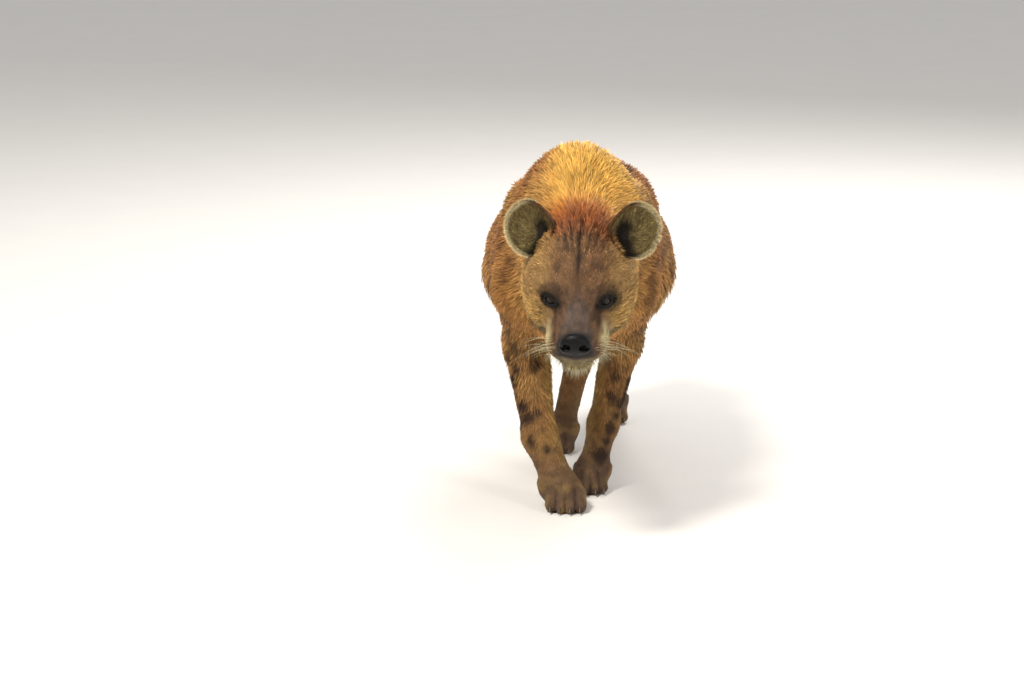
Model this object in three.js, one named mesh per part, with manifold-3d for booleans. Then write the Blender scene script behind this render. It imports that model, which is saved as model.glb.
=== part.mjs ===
// A spotted hyena at life size, walking towards the viewer with its head low.
// Millimetres, +Z up. The animal faces -Y, its left side is +X, and it stands on the plane z = 0.
// Flesh and coat are one smooth distance field of bones with radii and of muscles. Each body node is
// a stretch of that field, wrapped in a net of quads and cut flat where it meets its neighbours.
import * as THREE from "three";
import { mergeVertices } from "three/addons/utils/BufferGeometryUtils.js";
import Module from "manifold-3d";

const wasm = await Module();
wasm.setup();

// Driving dimensions
const SHOULDER_HEIGHT = 800; // floor to the top of the mane over the shoulders
const HEAD_PITCH = 27; // degrees that the muzzle points below level
const HEAD_YAW = 3.5; // degrees that the nose turns to the animal's right
const HEAD_ROLL = 0.5; // degrees that the animal's right ear is raised
const EYE_SPACING = 101; // between the centres of the eyeballs
const EYE_RAISE = 9; // above the head's own origin
const EYE_RADIUS = 13;
const EYE_SINK = 9; // from the face's surface back to the centre of the eyeball
const EAR_WIDTH = 112;
const EAR_HEIGHT = 118;
const EAR_WALL = 7;
const SEED = 7; // for the variety of the locks
const GAP = 0.3; // clearance between neighbouring nodes
const SLIVER = 0.05; // edges left by a cut that are shorter than this are closed up
const NET = { trunk: 41, neck: 34, head: 18.5, leg: 25, paw: 16, tail: 19, nose: 9 }; // sizes of quads

// Places are written for an animal 800 high and follow the shoulder height.
const K = SHOULDER_HEIGHT / 800;
const at = (x, y, z) => new THREE.Vector3(x, y, z).multiplyScalar(K);
const RIGHT = -1;
const LEFT = 1;
const bothSides = (make) => [make(RIGHT), make(LEFT)];

// Fields: each is a function of a point, in millimetres, and negative inside the animal.

// A bone wrapped in flesh: its radius runs from ra at a to rb at b, and wide scales it across the body.
function bone(a, b, ra, rb, wide = 1) {
  const along = b.clone().sub(a);
  const lengthSq = along.lengthSq();
  const ease = Math.min(1, wide);
  return (p) => {
    const px = p.x - a.x;
    const py = p.y - a.y;
    const pz = p.z - a.z;
    const t = Math.min(1, Math.max(0, (px * along.x + py * along.y + pz * along.z) / lengthSq));
    const across = Math.hypot((px - t * along.x) / wide, py - t * along.y, pz - t * along.z);
    return (across - K * (ra + (rb - ra) * t)) * ease;
  };
}

// An ellipsoid of muscle or fat with three radii.
function muscle(centre, radii) {
  const smallest = Math.min(radii.x, radii.y, radii.z);
  return (p) => {
    const x = (p.x - centre.x) / radii.x;
    const y = (p.y - centre.y) / radii.y;
    const z = (p.z - centre.z) / radii.z;
    const scaled = Math.hypot(x, y, z);
    const slope = Math.hypot(x / radii.x, y / radii.y, z / radii.z);
    return slope < 1e-9 ? -smallest : (scaled * (scaled - 1)) / slope;
  };
}

function smoothMin(a, b, k) {
  const h = Math.max(k - Math.abs(a - b), 0) / k;
  return Math.min(a, b) - (h * h * k) / 4;
}

// Fields run together with fillets of size k.
function melt(k, ...fields) {
  const size = k * K;
  return (p) => fields.reduce((d, field) => smoothMin(d, field(p), size), 1e6);
}

// The head's own frame: its origin lies midway between the eyes, -Y is forward and Z is up.
const head = new THREE.Group();
head.position.copy(at(1.5, -424, 533));
head.rotation.order = "ZYX";
head.rotation.set(
  THREE.MathUtils.degToRad(HEAD_PITCH),
  THREE.MathUtils.degToRad(HEAD_ROLL),
  THREE.MathUtils.degToRad(-HEAD_YAW),
);
head.updateMatrixWorld(true);
const onHead = (x, forward, up) => at(x, -forward, up);
const headPlace = (x, forward, up) => onHead(x, forward, up).applyMatrix4(head.matrixWorld);
function inHead(field) {
  const fromWorld = head.matrixWorld.clone().invert();
  const local = new THREE.Vector3();
  return (p) => field(local.copy(p).applyMatrix4(fromWorld));
}

const trunkFlesh = [
  muscle(at(-2, 50, 540), at(186, 215, 208)), // chest
  muscle(at(0, 240, 494), at(216, 260, 186)), // ribs
  muscle(at(4, 385, 480), at(214, 212, 170)), // belly
  muscle(at(20, 575, 538), at(148, 172, 144)), // rump
  bone(at(-2, -50, 678), at(-4, 210, 628), 108, 102), // withers
  bone(at(-4, 210, 612), at(14, 540, 582), 98, 98), // loin
  muscle(at(-2, -120, 470), at(105, 95, 105)), // brisket
];
const neckFlesh = [
  bone(at(0, -60, 610), at(2, -300, 560), 150, 112),
  bone(at(0, -90, 500), at(2, -300, 500), 105, 84), // throat
  bone(at(0, -20, 705), at(2, -300, 618), 78, 50), // crest of the neck
];
const headFlesh = [
  muscle(onHead(0, -85, 6), at(74, 98, 56)), // braincase
  bone(onHead(0, -30, 26), onHead(0, -165, 30), 30, 38), // crest of the skull
  muscle(onHead(0, -28, 10), at(66, 56, 38)), // forehead
  bone(onHead(0, 4, -26), onHead(0, 110, -34), 50, 36, 1.16), // muzzle
  bone(onHead(0, -60, -68), onHead(0, 90, -72), 50, 27, 1.2), // lower jaw
  muscle(onHead(0, 104, -72), at(26, 24, 17)), // chin
  bone(onHead(0, -90, -45), onHead(0, -190, -45), 68, 88), // throat
  ...bothSides((side) => muscle(onHead(side * 60, -50, -36), at(41, 74, 56))), // cheek
  ...bothSides((side) => bone(onHead(side * 60, -10, -18), onHead(side * 82, -70, -6), 18, 24)),
  ...bothSides((side) => muscle(onHead(side * 40, 66, -52), at(29, 58, 26))), // upper lip
  ...bothSides((side) => muscle(onHead(side * 46, -8, 20), at(28, 26, 16))), // brow
].map(inHead);

// Legs from the shoulder blade or hip down to the toes
const foreLegs = {
  right: {
    side: RIGHT, girth: 1.04, yaw: -6,
    blade: at(-95, 30, 640), shoulder: at(-118, -75, 490), elbow: at(-116, 15, 350),
    wrist: at(-84, -72, 152), knuckle: at(-38, -112, 46), toes: at(-24, -150, 26),
  },
  left: {
    side: LEFT, girth: 0.93, yaw: 5,
    blade: at(98, 45, 640), shoulder: at(108, -55, 490), elbow: at(98, 42, 350),
    wrist: at(58, 55, 152), knuckle: at(34, 50, 46), toes: at(27, 14, 26),
  },
};
const hindLegs = {
  right: {
    side: RIGHT, girth: 1, yaw: -4,
    hip: at(-50, 572, 535), seat: at(-34, 672, 515), knee: at(-84, 478, 368), hock: at(0, 520, 190),
    knuckle: at(-36, 438, 48), toes: at(-50, 398, 26),
  },
  left: {
    side: LEFT, girth: 1, yaw: 4,
    hip: at(112, 572, 535), seat: at(96, 675, 515), knee: at(138, 528, 358), hock: at(106, 734, 214),
    knuckle: at(84, 748, 48), toes: at(78, 710, 26),
  },
};
function foreFlesh({ blade, shoulder, elbow, wrist, knuckle, toes, girth }) {
  return [
    bone(blade, shoulder, 78, 82, 0.85), // shoulder
    bone(shoulder, elbow, 80, 58, 0.9), // upper arm
    bone(elbow, wrist, 54 * girth, 38 * girth), // forearm
    bone(wrist, knuckle, 40 * girth, 37 * girth), // pastern
    bone(knuckle, toes, 37 * girth, 28 * girth, 1.25), // paw
  ];
}
function hindFlesh({ hip, seat, knee, hock, knuckle, toes, girth }) {
  const calf = knee.clone().lerp(hock, 0.5).add(at(0, 24, 0));
  return [
    bone(hip, knee, 118, 74, 0.7), // thigh
    bone(seat, calf, 84, 44, 0.72), // ham
    bone(knee, hock, 66 * girth, 34 * girth, 0.85), // shank
    bone(hock, knuckle, 37 * girth, 32 * girth, 0.95), // hind pastern
    bone(knuckle, toes, 33 * girth, 27 * girth, 1.25), // paw
  ];
}
const TAIL = [[at(30, 712, 602), 42], [at(30, 794, 572), 34], [at(24, 812, 470), 27], [at(12, 812, 340), 23]];
const TUFT_CORE = [[at(12, 812, 340), 23], [at(6, 815, 262), 27], [at(2, 818, 205), 9]];
const chain = (points) => points.slice(1).map(([b, rb], i) => bone(points[i][0], b, points[i][1], rb));

// The field of a limb runs into the trunk with a fillet but keeps clear of the other limbs.
const trunkField = melt(70, ...trunkFlesh, ...neckFlesh);
const headField = melt(26, ...headFlesh);
const body = melt(60, trunkField, headField);
const limb = (flesh) => melt(42, melt(26, ...flesh), body);
for (const leg of Object.values(foreLegs)) leg.field = limb(foreFlesh(leg));
for (const leg of Object.values(hindLegs)) leg.field = limb(hindFlesh(leg));
const tailField = melt(30, melt(10, ...chain(TAIL)), body);
const legs = [...Object.values(foreLegs), ...Object.values(hindLegs)];
const everything = (p) => Math.min(tailField(p), ...legs.map((leg) => leg.field(p)));

// A step of Newton's method puts a point on the surface of a field.
function settle(p, field, steps = 4) {
  const reach = 0.5;
  const slope = new THREE.Vector3();
  const probe = new THREE.Vector3();
  for (let i = 0; i < steps; i++) {
    const here = field(p);
    for (const axis of ["x", "y", "z"]) {
      probe.copy(p);
      probe[axis] += reach;
      slope[axis] = (field(probe) - here) / reach;
    }
    p.addScaledVector(slope, -here / Math.max(slope.lengthSq(), 0.2));
  }
  return p;
}

// Wraps the part of a field inside a box in a closed net: one vertex for each cell that the surface
// crosses and one quad for each grid edge that it crosses. The box's own faces close the net.
function weave(field, box, cell) {
  const min = box.min;
  const counts = box.getSize(new THREE.Vector3()).divideScalar(cell).ceil().addScalar(3);
  const [nx, ny, nz] = counts.toArray();
  const index = (i, j, k) => (i * ny + j) * nz + k;
  const values = new Float64Array(nx * ny * nz).fill(1);
  const corner = (i, j, k) => new THREE.Vector3(i - 1, j - 1, k - 1).multiplyScalar(cell).add(min);
  for (let i = 1; i < nx - 1; i++) {
    for (let j = 1; j < ny - 1; j++) {
      for (let k = 1; k < nz - 1; k++) values[index(i, j, k)] = field(corner(i, j, k)) || 1e-6;
    }
  }
  const onRim = (i, j, k) => i < 1 || j < 1 || k < 1 || i > nx - 3 || j > ny - 3 || k > nz - 3;
  const vertexOf = new Map();
  const positions = [];
  const vertex = (i, j, k) => {
    const key = index(i, j, k);
    if (vertexOf.has(key)) return vertexOf.get(key);
    const sum = new THREE.Vector3();
    let crossings = 0;
    for (let a = 0; a < 8; a++) {
      const from = [i + (a & 1), j + ((a >> 1) & 1), k + (a >> 2)];
      const va = values[index(...from)];
      for (let axis = 0; axis < 3; axis++) {
        if ((a >> axis) & 1) continue;
        const to = [...from];
        to[axis] += 1;
        const vb = values[index(...to)];
        if (va < 0 === vb < 0) continue;
        sum.add(corner(...from).lerp(corner(...to), va / (va - vb)));
        crossings += 1;
      }
    }
    const place = sum.divideScalar(crossings);
    if (!onRim(i, j, k)) {
      const settled = settle(place.clone(), field);
      if (settled.distanceTo(place) < cell) place.copy(settled);
    }
    positions.push(...place.toArray());
    vertexOf.set(key, positions.length / 3 - 1);
    return positions.length / 3 - 1;
  };
  const triangles = [];
  const quad = (a, b, c, d, flip) => {
    if (flip) triangles.push(a, c, b, a, d, c);
    else triangles.push(a, b, c, a, c, d);
  };
  for (let i = 0; i < nx - 1; i++) {
    for (let j = 0; j < ny - 1; j++) {
      for (let k = 0; k < nz - 1; k++) {
        const inside = values[index(i, j, k)] < 0;
        if (inside !== values[index(i + 1, j, k)] < 0) {
          quad(vertex(i, j - 1, k - 1), vertex(i, j, k - 1), vertex(i, j, k), vertex(i, j - 1, k), !inside);
        }
        if (inside !== values[index(i, j + 1, k)] < 0) {
          quad(vertex(i - 1, j, k - 1), vertex(i - 1, j, k), vertex(i, j, k), vertex(i, j, k - 1), !inside);
        }
        if (inside !== values[index(i, j, k + 1)] < 0) {
          quad(vertex(i - 1, j - 1, k), vertex(i, j - 1, k), vertex(i, j, k), vertex(i - 1, j, k), !inside);
        }
      }
    }
  }
  return { positions, triangles };
}

// Two sheets of a net that touch along an edge give that edge more than two triangles.
function pinched(triangles) {
  const seen = new Set();
  for (let i = 0; i < triangles.length; i += 3) {
    for (let side = 0; side < 3; side++) {
      const edge = `${triangles[i + side]} ${triangles[i + ((side + 1) % 3)]}`;
      if (seen.has(edge)) return true;
      seen.add(edge);
    }
  }
  return false;
}

// A net that comes out pinched is woven again a little finer.
const FINER = 0.985;
const TRIES = 12;
function net(field, box, cell) {
  let { positions, triangles } = weave(field, box, cell);
  for (let i = 1; i < TRIES && pinched(triangles); i++) {
    ({ positions, triangles } = weave(field, box, cell * FINER ** i));
  }
  const geometry = new THREE.BufferGeometry();
  geometry.setAttribute("position", new THREE.Float32BufferAttribute(positions, 3));
  geometry.setIndex(triangles);
  return solidOf(geometry);
}

// Solids: closed meshes that manifold-3d joins and cuts
function solidOf(geometry) {
  geometry.deleteAttribute("normal");
  geometry.deleteAttribute("uv");
  const welded = mergeVertices(geometry, 1e-4);
  const mesh = new wasm.Mesh({
    numProp: 3,
    vertProperties: new Float32Array(welded.attributes.position.array),
    triVerts: new Uint32Array(welded.index.array),
  });
  return new wasm.Manifold(mesh);
}
const largest = (solid) => solid.decompose().reduce((a, b) => (b.volume() > a.volume() ? b : a));

// A plane through a point. cutBy keeps what lies behind it, or in front of it, half the gap away.
const plane = (point, normal) => ({ point, normal: normal.clone().normalize() });
function cutBy(solid, { point, normal }, keepFront) {
  const way = keepFront ? normal : normal.clone().negate();
  return solid.trimByPlane(way.toArray(), way.dot(point) + GAP / 2);
}
const behind = (solid, ...planes) => planes.reduce((part, cut) => cutBy(part, cut, false), solid);
const inFront = (solid, ...planes) => planes.reduce((part, cut) => cutBy(part, cut, true), solid);

const hyena = new THREE.Group();
function add(name, solid, color, roughness = 0.9) {
  const { vertProperties, triVerts } = largest(solid).simplify(SLIVER).getMesh();
  const geometry = new THREE.BufferGeometry();
  geometry.setAttribute("position", new THREE.BufferAttribute(vertProperties, 3));
  geometry.setIndex(new THREE.BufferAttribute(triVerts, 1));
  const mesh = new THREE.Mesh(
    geometry,
    new THREE.MeshStandardMaterial({ color, roughness, metalness: 0, flatShading: true }),
  );
  mesh.name = name;
  hyena.add(mesh);
}
const boxAround = (from, to) => new THREE.Box3(from, to);

// Long hair grows in flat locks, each a bent blade with a diamond section that tapers to a point.
let seed = SEED;
function random(from, to) {
  seed = (seed * 16807) % 2147483647;
  return from + ((seed % 10007) / 10007) * (to - from);
}
const LOCK_RINGS = 3;
const LOCK_ROOT = 12; // how deep a lock is rooted
function lock(root, way, out, { length, width, thick, droop }) {
  const forward = way.clone().addScaledVector(out, -way.dot(out)).normalize();
  const across = forward.clone().cross(out).normalize();
  const positions = [];
  const ring = (t) => root.clone()
    .addScaledVector(out, (-LOCK_ROOT + (droop.lift + LOCK_ROOT) * Math.sin(t * 2.1)) * K)
    .addScaledVector(forward, t * length * K)
    .add(new THREE.Vector3(0, 0, -droop.fall * t * t * K));
  for (let i = 0; i < LOCK_RINGS; i++) {
    const t = i / LOCK_RINGS;
    const half = (width / 2) * (1 - t * 0.45) * K;
    const deep = (thick / 2) * (1 - t * 0.5) * K;
    const centre = ring(t);
    for (const [a, b] of [[half, 0], [0, deep], [-half, 0], [0, -deep]]) {
      positions.push(...centre.clone().addScaledVector(across, a).addScaledVector(out, b).toArray());
    }
  }
  positions.push(...ring(1).toArray());
  const triangles = [0, 1, 2, 0, 2, 3];
  const tip = LOCK_RINGS * 4;
  for (let i = 0; i < LOCK_RINGS; i++) {
    for (let j = 0; j < 4; j++) {
      const a = i * 4 + j;
      const b = i * 4 + ((j + 1) % 4);
      if (i === LOCK_RINGS - 1) triangles.push(a, tip, b);
      else triangles.push(a, a + 4, b + 4, a, b + 4, b);
    }
  }
  const geometry = new THREE.BufferGeometry();
  geometry.setAttribute("position", new THREE.Float32BufferAttribute(positions, 3));
  geometry.setIndex(triangles);
  return solidOf(geometry);
}

// Roots are guessed, put on the surface of a field, and turned by the way out of it.
function growLocks(field, roots, way, shape) {
  return roots.map((guess) => {
    const root = settle(guess.clone(), field, 8);
    const out = new THREE.Vector3();
    for (const axis of ["x", "y", "z"]) {
      const probe = root.clone();
      probe[axis] += 1;
      out[axis] = field(probe);
    }
    return lock(root, way(root), out.normalize(), shape());
  });
}
const fuse = (solid, locks) => wasm.Manifold.union([solid, ...locks]);

// Planes where neighbouring nodes meet
const floor = plane(at(0, 0, -GAP / 2), new THREE.Vector3(0, 0, 1));
const neckBase = plane(at(0, -145, 480), new THREE.Vector3(0, -0.89, 0.46));
const headBase = plane(headPlace(0, -182, 0), new THREE.Vector3(0, -0.96, -0.28));
const tailBase = plane(at(0, 768, 0), new THREE.Vector3(0, 1, 0));
const tuftBase = plane(at(0, 0, 345), new THREE.Vector3(0, 0, -1));
for (const leg of Object.values(foreLegs)) {
  leg.top = plane(at(leg.side * 70, 0, 332), new THREE.Vector3(leg.side * 0.5, -0.32, -0.8));
}
for (const leg of legs) {
  const bend = leg.wrist ?? leg.hock;
  const above = bend.clone().sub(leg.elbow ?? leg.knee).normalize();
  const below = leg.knuckle.clone().sub(bend).normalize();
  leg.middle = plane(bend, above.add(below));
}
for (const leg of Object.values(hindLegs)) {
  const inner = leg.knee.clone().add(at(0, 10, -4));
  leg.top = plane(inner, new THREE.Vector3(leg.side * 0.35, 0.45, -0.82));
}

// Trunk, with the mane along its top and a fringe on each flank
const MANE = { rows: 8, from: -290, to: 240, spread: 46 };
const maneRoots = [];
for (let row = 0; row < MANE.rows; row++) {
  for (let column = -1; column <= 1; column++) {
    const y = MANE.from + ((row + random(0, 0.6)) / MANE.rows) * (MANE.to - MANE.from);
    const x = (column + (row % 2 ? 0.25 : -0.25)) * MANE.spread;
    maneRoots.push(at(x, y, 790 - Math.max(0, -y) * 0.35 - Math.max(0, y) * 0.12));
  }
}
const maneLocks = growLocks(
  body, maneRoots,
  (root) => new THREE.Vector3(root.x * 0.004, 1, 0.2),
  () => ({ length: random(78, 104), width: random(30, 42), thick: 7, droop: { lift: 9, fall: 6 } }),
);
const FRINGE = { count: 7, from: 120, to: 480, height: 452 };
const fringeRoots = bothSides((side) => Array.from({ length: FRINGE.count }, (_, i) => at(
  side * 225, FRINGE.from + ((i + random(0, 0.5)) / FRINGE.count) * (FRINGE.to - FRINGE.from),
  FRINGE.height + random(-34, 24),
))).flat();
const fringeLocks = growLocks(
  trunkField, fringeRoots,
  () => new THREE.Vector3(0, 0.45, -1),
  () => ({ length: random(80, 110), width: random(34, 46), thick: 7, droop: { lift: 8, fall: 10 } }),
);
const trunkBox = boxAround(at(-320, -330, 180), at(340, 860, 860));
const legTops = legs.map((leg) => leg.top);
const trunkSolid = fuse(net(everything, trunkBox, NET.trunk * K), [...maneLocks, ...fringeLocks]);
add("torso", behind(trunkSolid, neckBase, tailBase, ...legTops), 0xa86e41);

const neckBox = boxAround(at(-260, -480, 300), at(260, 40, 860));
const neckSolid = fuse(net(everything, neckBox, NET.neck * K), maneLocks);

const tailBox = boxAround(at(-60, 710, 300), at(110, 890, 700));
add("tail", behind(inFront(net(tailField, tailBox, NET.tail * K), tailBase), tuftBase), 0xa5713f);
const TUFT_LOCKS = 12;
const tuftBox = boxAround(at(-70, 750, 140), at(80, 890, 380));
const tuftCore = melt(10, ...chain(TUFT_CORE));
const tuftRoots = Array.from({ length: TUFT_LOCKS }, (_, i) => {
  const turn = i * 2.4;
  return new THREE.Vector3(Math.cos(turn) * 30, Math.sin(turn) * 30, (i / TUFT_LOCKS) * 96 - 48)
    .multiplyScalar(K).add(at(9, 813, 288));
});
const tuftLocks = growLocks(
  tuftCore, tuftRoots,
  () => new THREE.Vector3(-0.05, 0.03, -1),
  () => ({ length: random(80, 108), width: random(28, 38), thick: 9, droop: { lift: 10, fall: 0 } }),
);
add("tail_tuft", inFront(fuse(net(tuftCore, tuftBox, NET.tail * K), tuftLocks), tuftBase), 0x2b2320);

// Legs, each an upper limb, a pastern and a paw with four toes
const pawTop = plane(at(0, 0, 58), new THREE.Vector3(0, 0, -1));
const TOES = [-31, -11, 11, 31]; // sideways places of the four toes
const CLAW_LENGTH = 24;
const toeReach = (x) => 26 - Math.abs(x) * 0.5;
const pawPlace = (leg) => (x, forward, up) => at(x * leg.girth, -forward, up)
  .applyAxisAngle(new THREE.Vector3(0, 0, 1), THREE.MathUtils.degToRad(leg.yaw))
  .add(new THREE.Vector3(leg.toes.x, leg.toes.y, 0));
function pawField(leg) {
  const place = pawPlace(leg);
  const size = leg.girth;
  const toes = TOES.map((x) => (
    bone(place(x * 0.7, -22, 36), place(x, toeReach(x), 15), 20 * size, 15.5 * size)
  ));
  const pad = bone(place(0, -30, 20), place(0, 0, 16), 30 * size, 27 * size, 1.2);
  return melt(9, melt(20, leg.field, pad), ...toes);
}
function claw(leg, x) {
  const cone = new THREE.ConeGeometry(4.6 * K, CLAW_LENGTH * K, 6);
  cone.rotateX(THREE.MathUtils.degToRad(112));
  cone.rotateZ(THREE.MathUtils.degToRad(leg.yaw));
  cone.translate(...pawPlace(leg)(x, toeReach(x) + 19, 12).toArray());
  return solidOf(cone);
}
for (const [limb, side, leg] of [
  ["fore", "right", foreLegs.right],
  ["fore", "left", foreLegs.left],
  ["hind", "right", hindLegs.right],
  ["hind", "left", hindLegs.left],
]) {
  const joints = [leg.elbow ?? leg.knee, leg.wrist ?? leg.hock, leg.knuckle, leg.toes];
  const limbBox = new THREE.Box3().setFromPoints(joints).expandByScalar(130 * K);
  limbBox.min.z = -30 * K;
  const whole = inFront(behind(net(leg.field, limbBox, NET.leg * K), pawTop, neckBase), leg.top);
  add(`${limb}leg_${side}`, behind(whole, leg.middle), 0xb07040);
  add(`${limb}pastern_${side}`, inFront(whole, leg.middle), 0xa5683d);
  const pawBox = new THREE.Box3().setFromPoints([leg.knuckle, leg.toes]).expandByScalar(95 * K);
  pawBox.min.z = -40 * K;
  pawBox.max.z = 110 * K;
  const paw = TOES.reduce((solid, x) => solid.add(claw(leg, x)), net(pawField(leg), pawBox, NET.paw * K));
  add(`${limb}paw_${side}`, inFront(paw, pawTop, floor), 0x82604b);
}

// Head: ears, eyes and nose stand in sockets a gap wider than they are.
const toWorld = (solid) => solid.transform(head.matrixWorld.toArray());
const placed = (geometry, position, turn = [0, 0, 0]) => {
  const [x, y, z] = turn.map(THREE.MathUtils.degToRad);
  geometry.applyMatrix4(new THREE.Matrix4().makeRotationFromEuler(new THREE.Euler(x, y, z)));
  geometry.translate(position.x, position.y, position.z);
  return toWorld(solidOf(geometry));
};

// The eyeball sits behind the face's surface, found by walking back along the line of sight.
const SIGHT = new THREE.Vector3(0.34, -0.94, 0.08).normalize();
function eyeCentre(side) {
  const sight = SIGHT.clone();
  sight.x *= side;
  const p = onHead(side * (EYE_SPACING / 2), 0, EYE_RAISE).addScaledVector(sight, 60 * K);
  const faceField = (q) => headField(q.clone().applyMatrix4(head.matrixWorld));
  while (faceField(p) > 0) p.addScaledVector(sight, -0.5);
  return p.addScaledVector(sight, -EYE_SINK * K);
}
function eyeball(side, grow) {
  return placed(new THREE.SphereGeometry((EYE_RADIUS + grow) * K, 12, 9), eyeCentre(side));
}

// Lids are a thick shell over the ball with an almond opening that slants up to the outer corner.
const LID_THICK = 4;
const OPENING = { width: 25, height: 17, slant: 8, out: 16, up: 12 }; // millimetres and degrees
function lids(side) {
  const centre = eyeCentre(side);
  const shell = placed(new THREE.SphereGeometry((EYE_RADIUS + LID_THICK) * K, 16, 11), centre);
  const almond = new THREE.Shape();
  const half = (OPENING.width / 2) * K;
  const high = (OPENING.height / 2) * K;
  almond.moveTo(-half, 0);
  almond.quadraticCurveTo(0, high * 2, half, 0);
  almond.quadraticCurveTo(0, -high * 2, -half, 0);
  const cutter = new THREE.ExtrudeGeometry(almond, { depth: 40 * K, bevelEnabled: false, curveSegments: 7 });
  cutter.rotateX(Math.PI / 2);
  cutter.rotateY(THREE.MathUtils.degToRad(-side * OPENING.slant));
  return { shell, opening: placed(cutter, centre, [-OPENING.up, 0, side * OPENING.out]) };
}

// The nose pad, with a comma-shaped nostril on each side and a groove down its middle
const noseParts = [
  muscle(onHead(0, 134, -15), at(31, 17, 25)),
  muscle(onHead(0, 128, -36), at(20, 14, 16)),
  ...bothSides((side) => muscle(onHead(side * 19, 132, -22), at(14, 15, 16))),
].map(inHead);
const nosePad = melt(7, ...noseParts);
const hollow = (x, forward, up, radii, turn) => {
  const pit = new THREE.SphereGeometry(K, 10, 7);
  pit.scale(...radii);
  return placed(pit, onHead(x, forward, up), turn);
};
const nostrils = bothSides((side) => [
  hollow(side * 18, 150, -14, [8.5, 14, 7.5], [0, 0, side * 20]),
  hollow(side * 27, 143, -20, [6, 8, 2.8], [0, side * -24, side * 35]),
]).flat();
const philtrum = hollow(0, 152, -38, [1.8, 7, 15], [0, 0, 0]);
const NOSE_SINK = 1.2; // spare room round the buried part of the nose
const noseBox = new THREE.Box3().setFromCenterAndSize(headPlace(0, 132, -24), at(110, 100, 110));
const noseSocket = net((p) => nosePad(p) - NOSE_SINK, noseBox, NET.nose * K);

// The mouth is a narrow furrow from under the nose back to the corner below each eye.
const MOUTH = [[0, 142, -62], [22, 136, -66], [40, 112, -74], [54, 70, -70], [66, 28, -58]];
const MOUTH_RADIUS = 3;
const mouth = bothSides((side) => {
  const points = MOUTH.map(([x, forward, up]) => onHead(side * x, forward, up));
  const round = new THREE.Shape().absarc(0, 0, MOUTH_RADIUS * K, 0, Math.PI * 2);
  return toWorld(solidOf(new THREE.ExtrudeGeometry(round, {
    steps: 10, curveSegments: 3, bevelEnabled: false, extrudePath: new THREE.CatmullRomCurve3(points),
  })));
});

// An ear is a bowl, deepest low and towards the middle of the head. Its rim is drawn in above the brow,
// at an angle from the top outwards.
const EAR_DEPTH = 46;
const EAR_TURN = { out: 20, back: -34, lean: 8 }; // degrees
const EAR_DRAW = { by: 0.12, at: -0.9, over: 0.5 }; // share of the radius, and radians
function placedOnEar(geometry, side) {
  const turn = [EAR_TURN.back, side * EAR_TURN.lean, side * EAR_TURN.out];
  return placed(geometry, onHead(side * 110, -146, 66), turn);
}
function ear(side, grow) {
  const rim = 1 + grow / (EAR_WIDTH / 2);
  const profile = [];
  const STEPS = 5;
  for (let i = 0; i <= STEPS; i++) {
    const t = (i / STEPS) * (Math.PI / 2);
    profile.push(new THREE.Vector2(Math.sin(t) * rim, -Math.cos(t) * (EAR_DEPTH + grow)));
  }
  const inner = 1 - (EAR_WALL + grow) / (EAR_WIDTH / 2);
  for (let i = STEPS; i >= 0; i--) {
    const t = (i / STEPS) * (Math.PI / 2);
    profile.push(new THREE.Vector2(Math.sin(t) * inner, 1.5 + grow - Math.cos(t) * (EAR_DEPTH - EAR_WALL)));
  }
  profile[0].x = 0;
  profile[profile.length - 1].x = 0;
  const bowl = new THREE.LatheGeometry(profile.reverse(), 18);
  const place = bowl.attributes.position;
  for (let i = 0; i < place.count; i++) {
    const x = place.getX(i);
    const deep = place.getY(i);
    const z = place.getZ(i);
    const off = (Math.atan2(side * x, z) - EAR_DRAW.at) / EAR_DRAW.over;
    const draw = 1 - EAR_DRAW.by * Math.exp(-off * off);
    const lift = 1 + 0.1 * z * Math.abs(z);
    place.setXYZ(
      i,
      (x * (EAR_WIDTH / 2) * (1 + 0.12 * z) * draw + side * deep * 0.3) * K,
      -deep * K,
      (z * (EAR_HEIGHT / 2) * lift * draw + deep * 0.35) * K,
    );
  }
  return placedOnEar(bowl, side);
}

// Two tears in the outer edge of the left ear, as places in half-widths and a radius.
const EAR_TEARS = [[1.09, 0.12, 7], [1.03, -0.3, 5]];
function tear([x, z, radius]) {
  const drill = new THREE.CylinderGeometry(radius * K, radius * K, 60 * K, 6);
  drill.translate(((x * EAR_WIDTH) / 2) * K, 0, ((z * EAR_HEIGHT) / 2) * K);
  return placedOnEar(drill, LEFT);
}

let neck = inFront(behind(neckSolid, headBase), neckBase);
for (const side of [RIGHT, LEFT]) neck = neck.subtract(ear(side, 2 * GAP));
add("neck", neck, 0xb98c4b);

const headBox = boxAround(at(-190, -620, 340), at(190, -220, 760));
let headSolid = inFront(net(body, headBox, NET.head * K), headBase, neckBase).subtract(noseSocket);
for (const side of [RIGHT, LEFT]) {
  const { shell, opening } = lids(side);
  headSolid = headSolid.add(shell).subtract(opening).subtract(eyeball(side, 2 * GAP));
}
headSolid = mouth.reduce((solid, furrow) => solid.subtract(furrow), headSolid);
for (const side of [RIGHT, LEFT]) headSolid = headSolid.subtract(ear(side, 2 * GAP));
add("head", headSolid, 0x8d6a4c);
const noseSolid = net(nosePad, noseBox, NET.nose * K);
add("nose", [...nostrils, philtrum].reduce((solid, pit) => solid.subtract(pit), noseSolid), 0x1d1c1f, 0.45);
add("eye_right", eyeball(RIGHT, 0), 0x15100c, 0.08);
add("eye_left", eyeball(LEFT, 0), 0x15100c, 0.08);
add("ear_right", ear(RIGHT, 0), 0x6b5a3c);
add("ear_left", EAR_TEARS.reduce((solid, place) => solid.subtract(tear(place)), ear(LEFT, 0)), 0x6b5a3c);

// The origin is the middle of the whole animal's footprint, on the floor.
const extent = new THREE.Box3().setFromObject(hyena);
const middle = extent.getCenter(new THREE.Vector3());
hyena.position.set(-middle.x, -middle.y, -extent.min.z);

export default hyena;
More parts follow.
